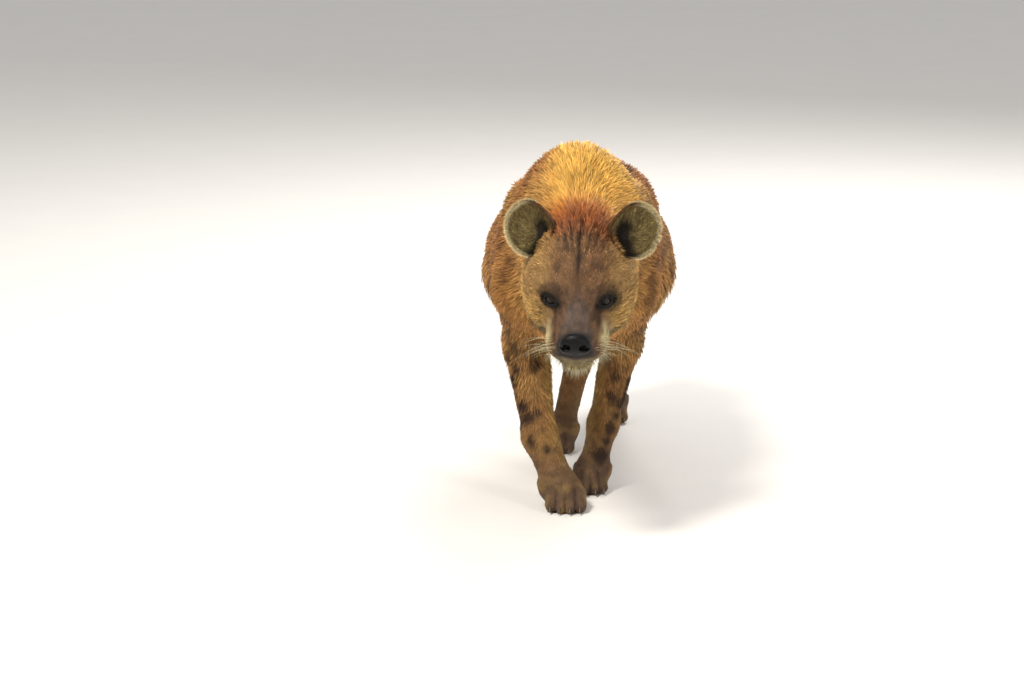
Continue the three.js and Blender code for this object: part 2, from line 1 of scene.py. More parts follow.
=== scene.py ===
"""A spotted hyena walking towards the viewer: skin, coat, ears, eyes, nose, claws and whiskers."""
import math

import bmesh
import bpy
import numpy as np
from mathutils import Euler, Matrix, Vector


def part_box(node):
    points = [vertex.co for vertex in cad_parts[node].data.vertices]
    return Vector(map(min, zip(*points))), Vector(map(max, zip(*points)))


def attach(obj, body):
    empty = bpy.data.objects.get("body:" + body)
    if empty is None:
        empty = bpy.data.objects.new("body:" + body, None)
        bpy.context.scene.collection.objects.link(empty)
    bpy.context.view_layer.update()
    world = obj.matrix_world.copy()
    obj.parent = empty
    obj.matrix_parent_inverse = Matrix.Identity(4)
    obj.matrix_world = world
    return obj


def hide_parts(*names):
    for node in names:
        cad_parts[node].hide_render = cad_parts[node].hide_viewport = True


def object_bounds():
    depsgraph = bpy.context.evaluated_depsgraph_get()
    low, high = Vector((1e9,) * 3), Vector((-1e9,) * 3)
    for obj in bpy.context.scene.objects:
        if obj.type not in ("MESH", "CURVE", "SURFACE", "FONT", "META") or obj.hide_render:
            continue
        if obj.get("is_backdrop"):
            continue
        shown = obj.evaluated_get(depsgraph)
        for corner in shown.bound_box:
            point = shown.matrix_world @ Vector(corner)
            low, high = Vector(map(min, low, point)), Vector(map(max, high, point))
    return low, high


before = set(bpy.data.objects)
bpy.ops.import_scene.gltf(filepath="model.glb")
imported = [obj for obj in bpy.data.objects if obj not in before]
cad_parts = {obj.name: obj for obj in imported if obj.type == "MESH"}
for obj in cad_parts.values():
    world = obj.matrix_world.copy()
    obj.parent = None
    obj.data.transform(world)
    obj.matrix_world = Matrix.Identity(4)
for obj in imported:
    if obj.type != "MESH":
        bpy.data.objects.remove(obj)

bl_info = {
    "name": "Walking hyena",
    "version": (1, 0, 0),
    "blender": (4, 5, 0),
    "location": "3D View > Sidebar > Hyena",
    "description": "Builds a furred hyena as joined mesh pieces",
    "category": "Object",
}

# Places are in millimetres from a point on the floor under the shoulders; SHIFT moves them to the frame.
SHIFT = np.array([-2.102, -158.401, 0.0])
MM = 0.001
RIGHT, LEFT = -1, 1
SIDES = (RIGHT, LEFT)


def srgb(r, g, b):
    """Linear colour from 8-bit display values."""
    return (np.array([r, g, b]) / 255.0) ** 2.2


# Fields: functions of an (n, 3) array of points that are negative inside the animal


def bone(a, b, ra, rb, wide=1.0):
    """A bone wrapped in flesh, of radius ra at a and rb at b, scaled across the body by wide."""
    a, along = np.array(a, float), np.subtract(b, a).astype(float)
    length_sq = along @ along

    def field(p):
        q = p - a
        t = np.clip(q @ along / length_sq, 0, 1)
        q = q - t[:, None] * along
        across = np.sqrt((q[:, 0] / wide) ** 2 + q[:, 1] ** 2 + q[:, 2] ** 2)
        return (across - (ra + (rb - ra) * t)) * min(1.0, wide)

    return field


def muscle(centre, radii):
    """An ellipsoid of muscle or fat."""
    centre, radii = np.array(centre, float), np.array(radii, float)

    def field(p):
        q = (p - centre) / radii
        scaled = np.sqrt((q**2).sum(1))
        slope = np.sqrt(((q / radii) ** 2).sum(1))
        return scaled * (scaled - 1) / np.maximum(slope, 1e-9)

    return field


def smooth_min(a, b, k):
    h = np.maximum(k - np.abs(a - b), 0) / k
    return np.minimum(a, b) - h * h * k / 4


def melt(k, *fields):
    """Fields run together with fillets of size k."""

    def field(p):
        d = fields[0](p)
        for other in fields[1:]:
            d = smooth_min(d, other(p), k)
        return d

    return field


# The head's frame: x to the animal's left, forward towards the nose, up from the line of the eyes
HEAD_ORIGIN = np.array([1.5, -424.0, 533.0])
HEAD_TURN = np.array(
    Matrix.Rotation(math.radians(-3.5), 3, "Z")
    @ Matrix.Rotation(math.radians(0.5), 3, "Y")
    @ Matrix.Rotation(math.radians(27), 3, "X")
)


def on_head(x, forward, up):
    return HEAD_ORIGIN + HEAD_TURN @ np.array([x, -forward, up], float)


def head_place(p):
    """Columns x, forward, up of points given in the animal's frame."""
    q = (p - HEAD_ORIGIN) @ HEAD_TURN
    return q * np.array([1, -1, 1])


def in_head(field):
    return lambda p: field((p - HEAD_ORIGIN) @ HEAD_TURN)


def hbone(a, b, ra, rb, wide=1.0):
    return in_head(bone((a[0], -a[1], a[2]), (b[0], -b[1], b[2]), ra, rb, wide))


def hmuscle(c, r):
    return in_head(muscle((c[0], -c[1], c[2]), r))


TRUNK = [
    muscle((-2, 50, 540), (186, 215, 208)),
    muscle((0, 240, 494), (216, 260, 186)),
    muscle((4, 385, 480), (214, 212, 170)),
    muscle((20, 575, 538), (148, 172, 144)),
    bone((-2, -50, 678), (-4, 210, 628), 108, 102),
    bone((-4, 210, 612), (14, 540, 582), 98, 98),
    muscle((-2, -120, 470), (105, 95, 105)),
    bone((0, -60, 610), (2, -300, 560), 150, 112),
    bone((0, -90, 500), (2, -300, 500), 105, 84),
    bone((0, -20, 705), (2, -300, 618), 78, 50),
]
HEAD = [
    hmuscle((0, -85, 6), (74, 98, 56)),
    hbone((0, -30, 26), (0, -165, 30), 30, 38),
    hmuscle((0, -28, 10), (66, 56, 38)),
    hbone((0, 4, -26), (0, 110, -34), 50, 36, 1.16),
    hbone((0, -60, -68), (0, 90, -72), 50, 27, 1.2),
    hmuscle((0, 104, -72), (26, 24, 17)),
    hbone((0, -90, -45), (0, -190, -45), 68, 88),
]
for side in SIDES:
    HEAD += [
        hmuscle((side * 60, -50, -36), (41, 74, 56)),
        hbone((side * 60, -10, -18), (side * 82, -70, -6), 18, 24),
        hmuscle((side * 40, 66, -52), (29, 58, 26)),
        hmuscle((side * 46, -8, 20), (28, 26, 16)),
    ]

FORE = [
    dict(side=RIGHT, girth=1.04, yaw=-6, blade=(-95, 30, 640), shoulder=(-118, -75, 490),
         elbow=(-116, 15, 350), wrist=(-84, -72, 152), knuckle=(-38, -112, 46), toes=(-24, -150, 26)),
    dict(side=LEFT, girth=0.93, yaw=5, blade=(98, 45, 640), shoulder=(108, -55, 490), elbow=(98, 42, 350),
         wrist=(58, 55, 152), knuckle=(34, 50, 46), toes=(27, 14, 26)),
]
HIND = [
    dict(side=RIGHT, girth=1.0, yaw=-4, hip=(-50, 572, 535), seat=(-34, 672, 515), knee=(-84, 478, 368),
         hock=(0, 520, 190), knuckle=(-36, 438, 48), toes=(-50, 398, 26)),
    dict(side=LEFT, girth=1.0, yaw=4, hip=(112, 572, 535), seat=(96, 675, 515), knee=(138, 528, 358),
         hock=(106, 734, 214), knuckle=(84, 748, 48), toes=(78, 710, 26)),
]
TAIL = [((30, 712, 602), 42), ((30, 794, 572), 34), ((24, 812, 470), 27), ((12, 812, 340), 23)]
TAIL_CORE = [((12, 812, 340), 20), ((6, 815, 262), 22), ((2, 818, 205), 8)]
TOES = (-31, -11, 11, 31)


def chain(points):
    return [bone(a, b, ra, rb) for (a, ra), (b, rb) in zip(points, points[1:])]


def fore_flesh(leg):
    g = leg["girth"]
    return [
        bone(leg["blade"], leg["shoulder"], 78, 82, 0.85),
        bone(leg["shoulder"], leg["elbow"], 80, 58, 0.9),
        bone(leg["elbow"], leg["wrist"], 54 * g, 38 * g),
        bone(leg["wrist"], leg["knuckle"], 40 * g, 37 * g),
        bone(leg["knuckle"], leg["toes"], 37 * g, 28 * g, 1.25),
    ]


def hind_flesh(leg):
    g = leg["girth"]
    calf = (np.array(leg["knee"]) + np.array(leg["hock"])) / 2 + (0, 24, 0)
    return [
        bone(leg["hip"], leg["knee"], 118, 74, 0.7),
        bone(leg["seat"], calf, 84, 44, 0.72),
        bone(leg["knee"], leg["hock"], 66 * g, 34 * g, 0.85),
        bone(leg["hock"], leg["knuckle"], 37 * g, 32 * g, 0.95),
        bone(leg["knuckle"], leg["toes"], 33 * g, 27 * g, 1.25),
    ]


def paw_place(leg, x, forward, up):
    turn = Matrix.Rotation(math.radians(leg["yaw"]), 3, "Z")
    x, y, _ = turn @ Vector((x * leg["girth"], -forward, 0))
    return (leg["toes"][0] + x, leg["toes"][1] + y, up)


def toe_reach(x):
    return 26 - abs(x) * 0.5


def toe_fields(leg):
    g = leg["girth"]
    return [bone(paw_place(leg, x * 0.7, -22, 36), paw_place(leg, x, toe_reach(x), 15), 20 * g, 15.5 * g)
            for x in TOES]


LEGS = [(leg, fore_flesh(leg)) for leg in FORE] + [(leg, hind_flesh(leg)) for leg in HIND]
body = melt(60, melt(70, *TRUNK), melt(26, *HEAD))
EYES = {side: (np.array(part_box(name)[0]) + np.array(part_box(name)[1])) / 2 / MM - SHIFT
        for side, name in ((RIGHT, "eye_right"), (LEFT, "eye_left"))}
EYE_RADIUS = 13.0
SOCKET_GAP = 1.2
BARE_ROUND_EYE = 15.4
MOUTH = [(0, 142, -62), (22, 136, -66), (40, 112, -74), (54, 70, -70), (66, 28, -58)]


def capsule(a, b, r):
    return bone(a, b, r, r)


def flesh(p):
    """The whole animal's outline, coat included."""
    trunk = body(p)
    out = smooth_min(melt(10, *chain(TAIL))(p), trunk, 30)
    low = p[:, 2] < 700
    q = p[low]
    base = trunk[low]
    legs = np.full(len(q), 1e6)
    for leg, parts in LEGS:
        whole = smooth_min(melt(26, *parts)(q), base, 42)
        near = q[:, 2] < 90
        if near.any():
            f = q[near]
            g = leg["girth"]
            pad = bone(paw_place(leg, 0, -30, 20), paw_place(leg, 0, 0, 16), 30 * g, 27 * g, 1.2)
            d = smooth_min(whole[near], pad(f), 20)
            for toe in toe_fields(leg):
                d = smooth_min(d, toe(f), 9)
            whole[near] = np.minimum(whole[near], d)
        legs = np.minimum(legs, whole)
    out[low] = np.minimum(out[low], legs)
    return np.minimum(out, melt(10, *chain(TAIL_CORE))(p))


def ramp(x, a, b):
    """0 below a and 1 above b, eased."""
    t = np.clip((x - a) / (b - a), 0, 1)
    return t * t * (3 - 2 * t)


def coat_depth(p):
    """How far the skin lies inside the outline."""
    h = head_place(p)
    face = ramp(h[:, 1], -170, -40) * ramp(p[:, 2], 340, 370)
    leg = 1 - ramp(p[:, 2], 120, 420)
    depth = 11 - 6 * leg
    depth = depth * (1 - face) + face * 2.6
    return np.where(p[:, 2] < 60, 2.0, depth)


def toe_grooves(p):
    """1 along the furrows between the toes, fading to 0 beside them and behind."""
    total = np.zeros(len(p))
    low = p[:, 2] < 62
    if not low.any():
        return total
    q = p[low]
    deep = np.zeros(len(q))
    for leg, _ in LEGS:
        c, s = math.cos(math.radians(leg["yaw"])), math.sin(math.radians(leg["yaw"]))
        gap = (q[:, :2] - np.array(leg["toes"][:2])) / leg["girth"]
        x, forward = gap[:, 0] * c + gap[:, 1] * s, gap[:, 0] * s - gap[:, 1] * c
        spread = 0.72 + 0.28 * ramp(forward, -24, 24)
        here = ramp(forward, -22, 4) * (forward < 60)
        for centre in (-21, 0, 21):
            deep = np.maximum(deep, here * np.exp(-(((x - centre * spread) / 2.8) ** 2)))
    total[low] = deep * (1 - ramp(q[:, 2], 46, 60))
    return total


MOUTH_LINE = {side: [hbone((side * a[0], a[1], a[2]), (side * b[0], b[1], b[2]), 2.4, 2.0)
                     for a, b in zip(MOUTH, MOUTH[1:])] for side in SIDES}


def skin_field(p):
    d = flesh(p) + coat_depth(p) + 4.2 * toe_grooves(p)
    near = (p[:, 1] < -330) & (p[:, 2] > 380)
    if near.any():
        q = p[near]
        f = d[near]
        h = head_place(q)
        for side in SIDES:
            r = np.linalg.norm(q - EYES[side], axis=1)
            # a soft hollow under the brow, a mound for the lids and the socket itself
            f = f + 2.5 * np.exp(-(((r - 24) / 6) ** 2)) * (h[:, 2] < 8)
            f = np.maximum(f, EYE_RADIUS + SOCKET_GAP - r)
            for cut in MOUTH_LINE[side]:
                f = np.maximum(f, -cut(q))
        # a furrow runs up the middle of the forehead, and folds fan out beside it towards the crest
        high = ramp(h[:, 2], -10, 5)
        f = f + 2.4 * np.exp(-((h[:, 0] / 4.0) ** 2)) * ramp(-h[:, 1], -5, 30) * high
        lean = np.abs(h[:, 0]) - 0.12 * np.maximum(-h[:, 1] - 60, 0)
        fold = np.exp(-(((lean - 13) / 3.0) ** 2)) + 0.8 * np.exp(-(((lean - 26) / 3.2) ** 2))
        f = f + 1.5 * fold * ramp(-h[:, 1], 45, 85) * high
        d[near] = f
    return np.maximum(d, -p[:, 2])


def gradient(field, p, reach=0.6):
    here = field(p)
    slope = np.stack([field(p + np.eye(3)[i] * reach) - here for i in range(3)], 1) / reach
    return here, slope


def settle(field, p, steps=3):
    """Moves points onto a field's surface; returns them and the unit way out."""
    for _ in range(steps):
        here, slope = gradient(field, p)
        p = p - (np.clip(here, -6, 6) / np.maximum((slope**2).sum(1), 0.25))[:, None] * slope
    _, slope = gradient(field, p)
    return p, slope / np.maximum(np.linalg.norm(slope, axis=1), 1e-6)[:, None]


def net(field, low, high, cell, block=4):
    """Quads wrapped round a field: one vertex for each grid cell that the surface crosses."""
    low, high = np.array(low, float), np.array(high, float)
    counts = (np.ceil((high - low) / cell / block).astype(int) + 1)
    grid = np.stack(np.meshgrid(*[np.arange(c) for c in counts], indexing="ij"), -1).reshape(-1, 3)
    step = cell * block
    centre = low + (grid + 0.5) * step - cell / 2
    coarse = field(centre)
    values = np.repeat(np.repeat(np.repeat(coarse.reshape(counts), block, 0), block, 1), block, 2)
    near = np.abs(coarse) < step * 1.35
    fine = np.stack(np.meshgrid(*[np.arange(block)] * 3, indexing="ij"), -1).reshape(-1, 3)
    index = (grid[near][:, None] * block + fine[None]).reshape(-1, 3)
    for part in np.array_split(index, max(1, len(index) // 200000)):
        values[part[:, 0], part[:, 1], part[:, 2]] = field(low + part * cell)
    inside = values < 0
    nx, ny, nz = np.array(inside.shape) - 1
    corners = sum(inside[i:nx + i, j:ny + j, k:nz + k].astype(int) for i, j, k in np.ndindex(2, 2, 2))
    cells = np.argwhere((corners > 0) & (corners < 8))
    number = np.full(corners.shape, -1)
    number[tuple(cells.T)] = np.arange(len(cells))
    total, hits = np.zeros((len(cells), 3)), np.zeros(len(cells))
    for a in np.ndindex(2, 2, 2):
        for axis in range(3):
            if a[axis]:
                continue
            b = list(a)
            b[axis] = 1
            ca, cb = cells + a, cells + b
            va, vb = values[tuple(ca.T)], values[tuple(cb.T)]
            crossed = (va < 0) != (vb < 0)
            t = np.where(crossed, va / np.where(crossed, va - vb, 1), 0)
            total += np.where(crossed[:, None], ca + (cb - ca) * t[:, None], 0)
            hits += crossed
    verts = low + total / hits[:, None] * cell
    quads = []
    for axis in range(3):
        u, v = (axis + 1) % 3, (axis + 2) % 3
        one = np.moveaxis(inside, axis, 0)
        crossed = np.moveaxis(one[:-1] != one[1:], 0, axis)
        at = np.argwhere(crossed)
        ok = (at[:, u] > 0) & (at[:, v] > 0)
        ok &= (at[:, u] < inside.shape[u] - 1) & (at[:, v] < inside.shape[v] - 1)
        at = at[ok]
        du, dv = np.eye(3, dtype=int)[u], np.eye(3, dtype=int)[v]
        ring = np.stack([number[tuple((at - s * du - t * dv).T)]
                         for s, t in ((1, 1), (0, 1), (0, 0), (1, 0))], 1)
        flip = ~inside[tuple(at.T)]
        ring[flip] = ring[flip][:, ::-1]
        quads.append(ring)
    return verts, np.concatenate(quads)


def hash3(cells, salt=0):
    """A repeatable random number for each whole-number cell."""
    a, b, c = np.moveaxis(cells, -1, 0)
    n = a * 73856093 ^ b * 19349663 ^ c * 83492791 ^ (salt * 2654435761 % 2**31)
    n = (n ^ (n >> 13)) * 1274126177 & 0x7FFFFFFF
    return ((n ^ (n >> 16)) & 0xFFFFF) / 0xFFFFF


def blotches(p, cell, fill, size, salt=0):
    """Soft round spots, one at most in each cell: 0 off the spots and 1 in them."""
    q = p / cell
    base = np.floor(q).astype(np.int64)
    best = np.full(len(p), 9.0)
    for offset in np.ndindex(3, 3, 3):
        c = base + np.array(offset) - 1
        spot = c + 0.5 + 0.7 * (np.stack([hash3(c, salt + i) for i in (1, 2, 3)], 1) - 0.5)
        radius = size * (0.6 + 0.8 * hash3(c, salt + 4))
        d = np.linalg.norm(q - spot, axis=1) / radius
        best = np.minimum(best, np.where(hash3(c, salt + 5) < fill, d, 9.0))
    return 1 - ramp(best, 0.55, 1.25)


def noise(p, cell, salt=0):
    """Smooth value noise from 0 to 1."""
    q = p / cell
    base = np.floor(q).astype(np.int64)
    t = q - base
    t = t * t * (3 - 2 * t)
    total = np.zeros(len(p))
    for offset in np.ndindex(2, 2, 2):
        w = np.prod(np.where(np.array(offset) == 1, t, 1 - t), axis=1)
        total += w * hash3(base + np.array(offset), salt)
    return total


def shake(p, cell, salt):
    """Small offsets from -0.5 to 0.5 that tear the edges of round spots."""
    return np.stack([noise(p, cell, salt + i) for i in range(3)], 1) - 0.5


def mix(a, b, t):
    """Colour a, turned into colour b where t is 1."""
    t = np.clip(t, 0, 1)[:, None]
    return a * (1 - t) + b * t


GOLD, ORANGE, RUFOUS = srgb(216, 166, 80), srgb(168, 100, 44), srgb(166, 108, 58)
UMBER, BLOTCH, OCHRE = srgb(132, 92, 54), srgb(52, 38, 30), srgb(182, 144, 82)
LEG, PAW_TONE_AND_SHADE, DARK = srgb(138, 96, 58), srgb(106, 82, 62), srgb(30, 25, 23)
BROW, FACE_SIDE, GREY = srgb(122, 90, 62), srgb(160, 126, 78), srgb(92, 82, 76)
PALE, OLIVE, CREAM = srgb(214, 194, 144), srgb(112, 98, 52), srgb(238, 222, 176)
RUST, BRICK, NOSE_ROUND = srgb(138, 78, 40), srgb(110, 82, 60), srgb(52, 46, 44)
# Painted shade: the skin between the tufts is darkened as if shaded by the coat, the ears' skin less
SKIN_PAINTED_SHADE = 0.6
EAR_SKIN_PAINTED_SHADE = 0.8

# Dark spots on the forelegs and the sides of the neck: where they lie and how large they are
SPOTS = (
    (-136, -38, 276, 12), (-137, -41, 252, 13), (-119, -67, 226, 15), (-108, -84, 200, 18),
    (-126, -66, 186, 15), (-90, -86, 212, 11), (-67, -115, 131, 9), (-141, -44, 359, 17),
    (-148, -24, 330, 13), (-128, -38, 308, 11), (-152, -60, 392, 16), (112, 30, 272, 12),
    (108, 30, 246, 12), (95, 32, 209, 16), (84, 31, 180, 11), (75, 24, 151, 15), (64, 28, 122, 12),
    (51, 24, 86, 19), (146, -118, 521, 20), (149, -120, 484, 22), (149, -102, 447, 20),
    (169, -58, 545, 17), (138, -28, 384, 15), (150, -90, 412, 14),
)


def body_colour(p, cloud):
    """Trunk and neck: rufous to umber with torn dark spots, a golden mane and a rufous nape."""
    y, z = p[:, 1], p[:, 2]
    side = np.abs(p[:, 0])
    top = ramp(z - 0.05 * y, 600, 720) * (1 - ramp(np.abs(p[:, 0] - 40), 62, 114))
    gold = mix(GOLD, ORANGE, 0.25 * ramp(-y, 20, 160) * (1 - ramp(z, 690, 760)))
    spots = blotches(p + 22 * shake(p, 30, 31), cell=62, fill=0.7, size=0.32, salt=20) * (1 - top)
    trunk = mix(RUFOUS, UMBER, 0.1 + 0.7 * cloud)
    trunk = mix(trunk, OCHRE, ramp(-z, -450, -330) * 0.6)
    trunk = mix(trunk, OCHRE, 0.5 * ramp(noise(p, 110, 14), 0.55, 0.8))
    trunk = mix(trunk, gold, top * (1 - ramp(y, 150, 420)))
    trunk = mix(trunk, BLOTCH, spots * (0.45 + 0.35 * ramp(y, -40, 140)))
    fringe = ramp(side, 110, 165) * ramp(y, 20, 150) * (1 - ramp(y, 320, 520)) * (1 - ramp(z, 420, 600))
    trunk = mix(trunk, OCHRE, fringe * (0.35 + 0.5 * noise(p, 40, 19)) * (1 - 0.7 * spots))
    beside_head = ramp(-y, 210, 290) * (1 - ramp(z, 560, 640))
    neck = mix(OCHRE, RUFOUS, (0.1 + 0.6 * cloud) * (1 - 0.8 * beside_head))
    streaks = ramp(noise(p * np.array([1, 0.5, 0.4]), 24, 15), 0.6, 0.8) * (1 - top)
    neck = mix(neck, UMBER * 0.7, 0.85 * streaks)
    neck = mix(neck, BLOTCH, 0.5 * spots * ramp(-z, -560, -480))
    neck = mix(neck, gold, top)
    nape = ramp(-y, 215, 300) * ramp(z, 600, 650) * (1 - ramp(side, 40, 85))
    neck = mix(neck, mix(ORANGE, RUST, ramp(-y, 270, 330)), nape)
    return mix(trunk, neck, ramp(-y, 30, 200))


def leg_colour(p, out, cloud, torn):
    """Legs: tawny with dark spots, paler on their inner sides, with dusky paws partly of their own colour and
    partly painted shade, and painted shade in the furrows between the toes.
    """
    z = p[:, 2]
    inner = ramp(-out[:, 0] * np.sign(p[:, 0] - 2), 0.35, 0.85)
    spots = blotches((p + torn) * np.array([1, 1, 0.7]), cell=30, fill=0.85, size=0.36, salt=40)
    spots *= 1 - 0.8 * inner
    colour = mix(LEG, OCHRE * 0.75, 0.5 * cloud)
    colour = mix(colour, OCHRE * 0.8, inner * 0.7)
    colour = mix(colour, BLOTCH, spots * 0.88 * ramp(z, 85, 150))
    # dusky paws: partly their own colour and partly painted shade, darker towards the floor
    colour = mix(colour, PAW_TONE_AND_SHADE, 1 - ramp(z, 40, 170))
    colour = mix(colour, OCHRE, 0.6 * ramp(noise(p, 26, 16), 0.5, 0.75) * (1 - ramp(z, 30, 90)))
    # painted shade darkens the furrows between the toes, which are also cut into the skin
    return mix(colour, DARK, 0.55 * toe_grooves(p))


def placed_spots(p, torn):
    """1 in the spots that have a place of their own, fading to 0 round them."""
    nearest = np.full(len(p), 9.0)
    near = (p[:, 1] < 90) & (p[:, 2] < 580)
    for x, y, z, radius in SPOTS:
        off = (p[near] + 0.7 * torn[near] - np.array([x, y, z])) / (radius * np.array([1, 1, 1.2]))
        nearest[near] = np.minimum(nearest[near], np.linalg.norm(off, axis=1))
    return 1 - ramp(nearest, 0.55, 1.25)


def forehead_colour(h, fine, patchy):
    """Brow and crown: paler to the sides, patched, with the furrow and folds darkened by painted shade, and a
    rust crest.
    """
    x, f, u = h.T
    ax = np.abs(x)
    colour = mix(BROW, FACE_SIDE, ramp(ax, 40, 84))
    colour = mix(colour, UMBER * 0.8, 0.5 * fine)
    colour = mix(colour, BLOTCH, 0.5 * patchy * (1 - ramp(ax, 44, 72)) * ramp(u, -20, 0))
    colour = mix(colour, RUST, ramp(-f, 88, 128) * (1 - ramp(ax, 40, 72)))
    upper = ramp(u, -14, 0)
    # painted shade: the furrow up the middle and the folds beside it, also cut into the skin, are darkened
    painted_furrow_shade = np.exp(-(((x + 3 * fine) / 5.5) ** 2)) * ramp(-f, -12, 20)
    colour = mix(colour, DARK, 0.85 * painted_furrow_shade * upper)
    for place, depth in ((14, 0.8), (27, 0.7), (41, 0.5)):
        lean = place + 0.12 * np.maximum(-f - 60, 0)
        fold = np.exp(-(((ax - lean) / 3.2) ** 2)) * ramp(-f, 45, 90)
        colour = mix(colour, DARK, depth * fold * upper)
    return colour


def muzzle_colour(colour, h, fine):
    """Adds the grey bridge, brown flanks, pale bands, ochre cheeks and olive jaw to the face."""
    x, f, u = h.T
    ax = np.abs(x)
    slope = np.clip(f, 0, 130)
    flanks = ramp(f, 2, 30) * (1 - ramp(ax, 44, 56)) * ramp(u, -62, -40)
    colour = mix(colour, BRICK, flanks * 0.75)
    colour = mix(colour, BLOTCH, 0.55 * flanks * ramp(noise(h * np.array([1, 0.5, 1]), 12, 23), 0.45, 0.75))
    bridge = ramp(f, 8, 56) * (1 - ramp(ax + 14 * (fine - 0.5), 5 + 0.2 * slope, 24 + 0.2 * slope))
    colour = mix(colour, mix(GREY, UMBER * 0.8, 0.35 * fine), bridge * 0.9)
    streak = np.exp(-(((ax - 42 - 0.06 * slope + 8 * (fine - 0.5)) / 5.5) ** 2))
    colour = mix(colour, DARK, 0.5 * streak * ramp(f, 12, 30) * (1 - ramp(f, 58, 84)))
    band = ramp(f, 22, 58) * (1 - ramp(f, 84, 116)) * ramp(ax + 12 * (fine - 0.5), 45, 60) * ramp(-u, 8, 34)
    colour = mix(colour, PALE, band * (0.55 + 0.4 * fine))
    cheek = ramp(ax, 56, 80) * ramp(-u, 0, 36) * (1 - ramp(f, 24, 44))
    colour = mix(colour, OCHRE, cheek * 0.85)
    colour = mix(colour, mix(OLIVE * 0.6, PALE, 0.25 * fine), ramp(-u, 64, 76) * 0.9)
    front = ramp(f, 100, 120) * ramp(u, -62, -46) * (1 - ramp(ax + 10 * (fine - 0.5), 28, 44))
    colour = mix(colour, NOSE_ROUND, front)
    lower_edge = ramp(-u, 46, 60) * ramp(f, 60, 96)
    return mix(colour, mix(OLIVE, PALE, 0.6 * fine), lower_edge * 0.5)


def eye_and_lip_colour(colour, p, patchy, face):
    """Adds the dark rings and tear streaks of the eyes and the line of the lips."""
    for side in SIDES:
        r = np.linalg.norm(p - EYES[side], axis=1)
        colour = mix(colour, DARK, 1 - ramp(r, 17, 24))
        colour = mix(colour, DARK, 0.55 * (1 - ramp(r + 16 * (patchy - 0.5), 22, 31)))
        tear = capsule(on_head(side * 33, 14, -6), on_head(side * 27, 56, -34), 3.5)
        colour = mix(colour, DARK, 0.8 * (1 - ramp(tear(p), 0, 6)))
    lips = np.full(len(p), 9.0)
    near = face > 0
    for side in SIDES:
        for cut in MOUTH_LINE[side]:
            lips[near] = np.minimum(lips[near], cut(p[near]))
    return mix(colour, DARK, 0.65 * (1 - ramp(lips, 0, 3.5)))


def markings(p, out):
    """The coat's colour at points of the skin, in linear light."""
    h = head_place(p)
    y, z = p[:, 1], p[:, 2]
    cloud = noise(p, 70, 11)
    fine = noise(p * np.array([1, 0.4, 1]), 14, 12)
    torn = 12 * shake(p, 16, 41)
    colour = body_colour(p, cloud)
    legs = (1 - ramp(z, 300, 430)) * (1 - ramp(-y, 190, 230) * ramp(z, 330, 360))
    colour = mix(colour, leg_colour(p, out, cloud, torn), legs)
    colour = mix(colour, BLOTCH, placed_spots(p, torn) * (0.9 - 0.35 * ramp(z, 300, 380)))
    colour = mix(colour, mix(UMBER, DARK, 1 - ramp(z, 330, 420)), ramp(y, 772, 790))
    face = ramp(h[:, 1], -165, -120) * ramp(z, 340, 370)
    patchy = ramp(noise(h * np.array([1, 0.45, 1]), 15, 21), 0.45, 0.8)
    head = muzzle_colour(forehead_colour(h, fine, patchy), h, fine)
    colour = mix(colour, eye_and_lip_colour(head, p, patchy, face), face)
    strands = noise(h * np.array([1, 0.3, 1]), 4.5, 17) * face
    strands += noise(p * np.array([1, 0.4, 1]), 9, 13) * (1 - face)
    return colour * (0.56 + 0.7 * strands + 0.24 * noise(p, 23, 18))[:, None]


def lie_of_coat(p, out):
    """The way the hair points, along the skin."""
    h = head_place(p)
    side = np.sign(p[:, 0])
    back = np.stack([0.02 * side, np.ones(len(p)), -0.25 - 0.3 * np.clip(1 - out[:, 2], 0, 1)], 1)
    down = np.stack([np.zeros(len(p)), np.full(len(p), 0.22), np.full(len(p), -1.0)], 1)
    legs = (1 - ramp(p[:, 2], 250, 430))[:, None]
    way = back * (1 - legs) + down * legs
    flank = ramp(np.abs(p[:, 0]), 105, 160) * ramp(p[:, 1], 40, 130) * (1 - ramp(p[:, 2], 430, 540))
    flank = flank[:, None]
    way = way * (1 - flank) + np.array([0, 0.55, -1.0]) * flank
    tail = ramp(p[:, 1], 770, 800)[:, None]
    way = way * (1 - tail) + np.array([-0.05, 0.03, -1.0]) * tail
    spread = np.clip(h[:, 0] / 70, -1, 1)
    under = ramp(-h[:, 2], 60, 76) * ramp(h[:, 1], 20, 70)
    wide = ramp(np.abs(h[:, 0]), 56, 84)
    on_face = np.stack([
        spread * (0.55 + 0.6 * wide + under),
        1 - 0.8 * under - 0.2 * wide,
        0.1 - 0.5 * ramp(-h[:, 2], 20, 70) - under,
    ], 1) @ HEAD_TURN.T
    face = (ramp(h[:, 1], -150, -90) * ramp(p[:, 2], 340, 370))[:, None]
    way = way * (1 - face) + on_face * face
    way = way + 0.25 * shake(p, 28, 60)
    way = way - (way * out).sum(1)[:, None] * out
    return way / np.maximum(np.linalg.norm(way, axis=1), 1e-6)[:, None]


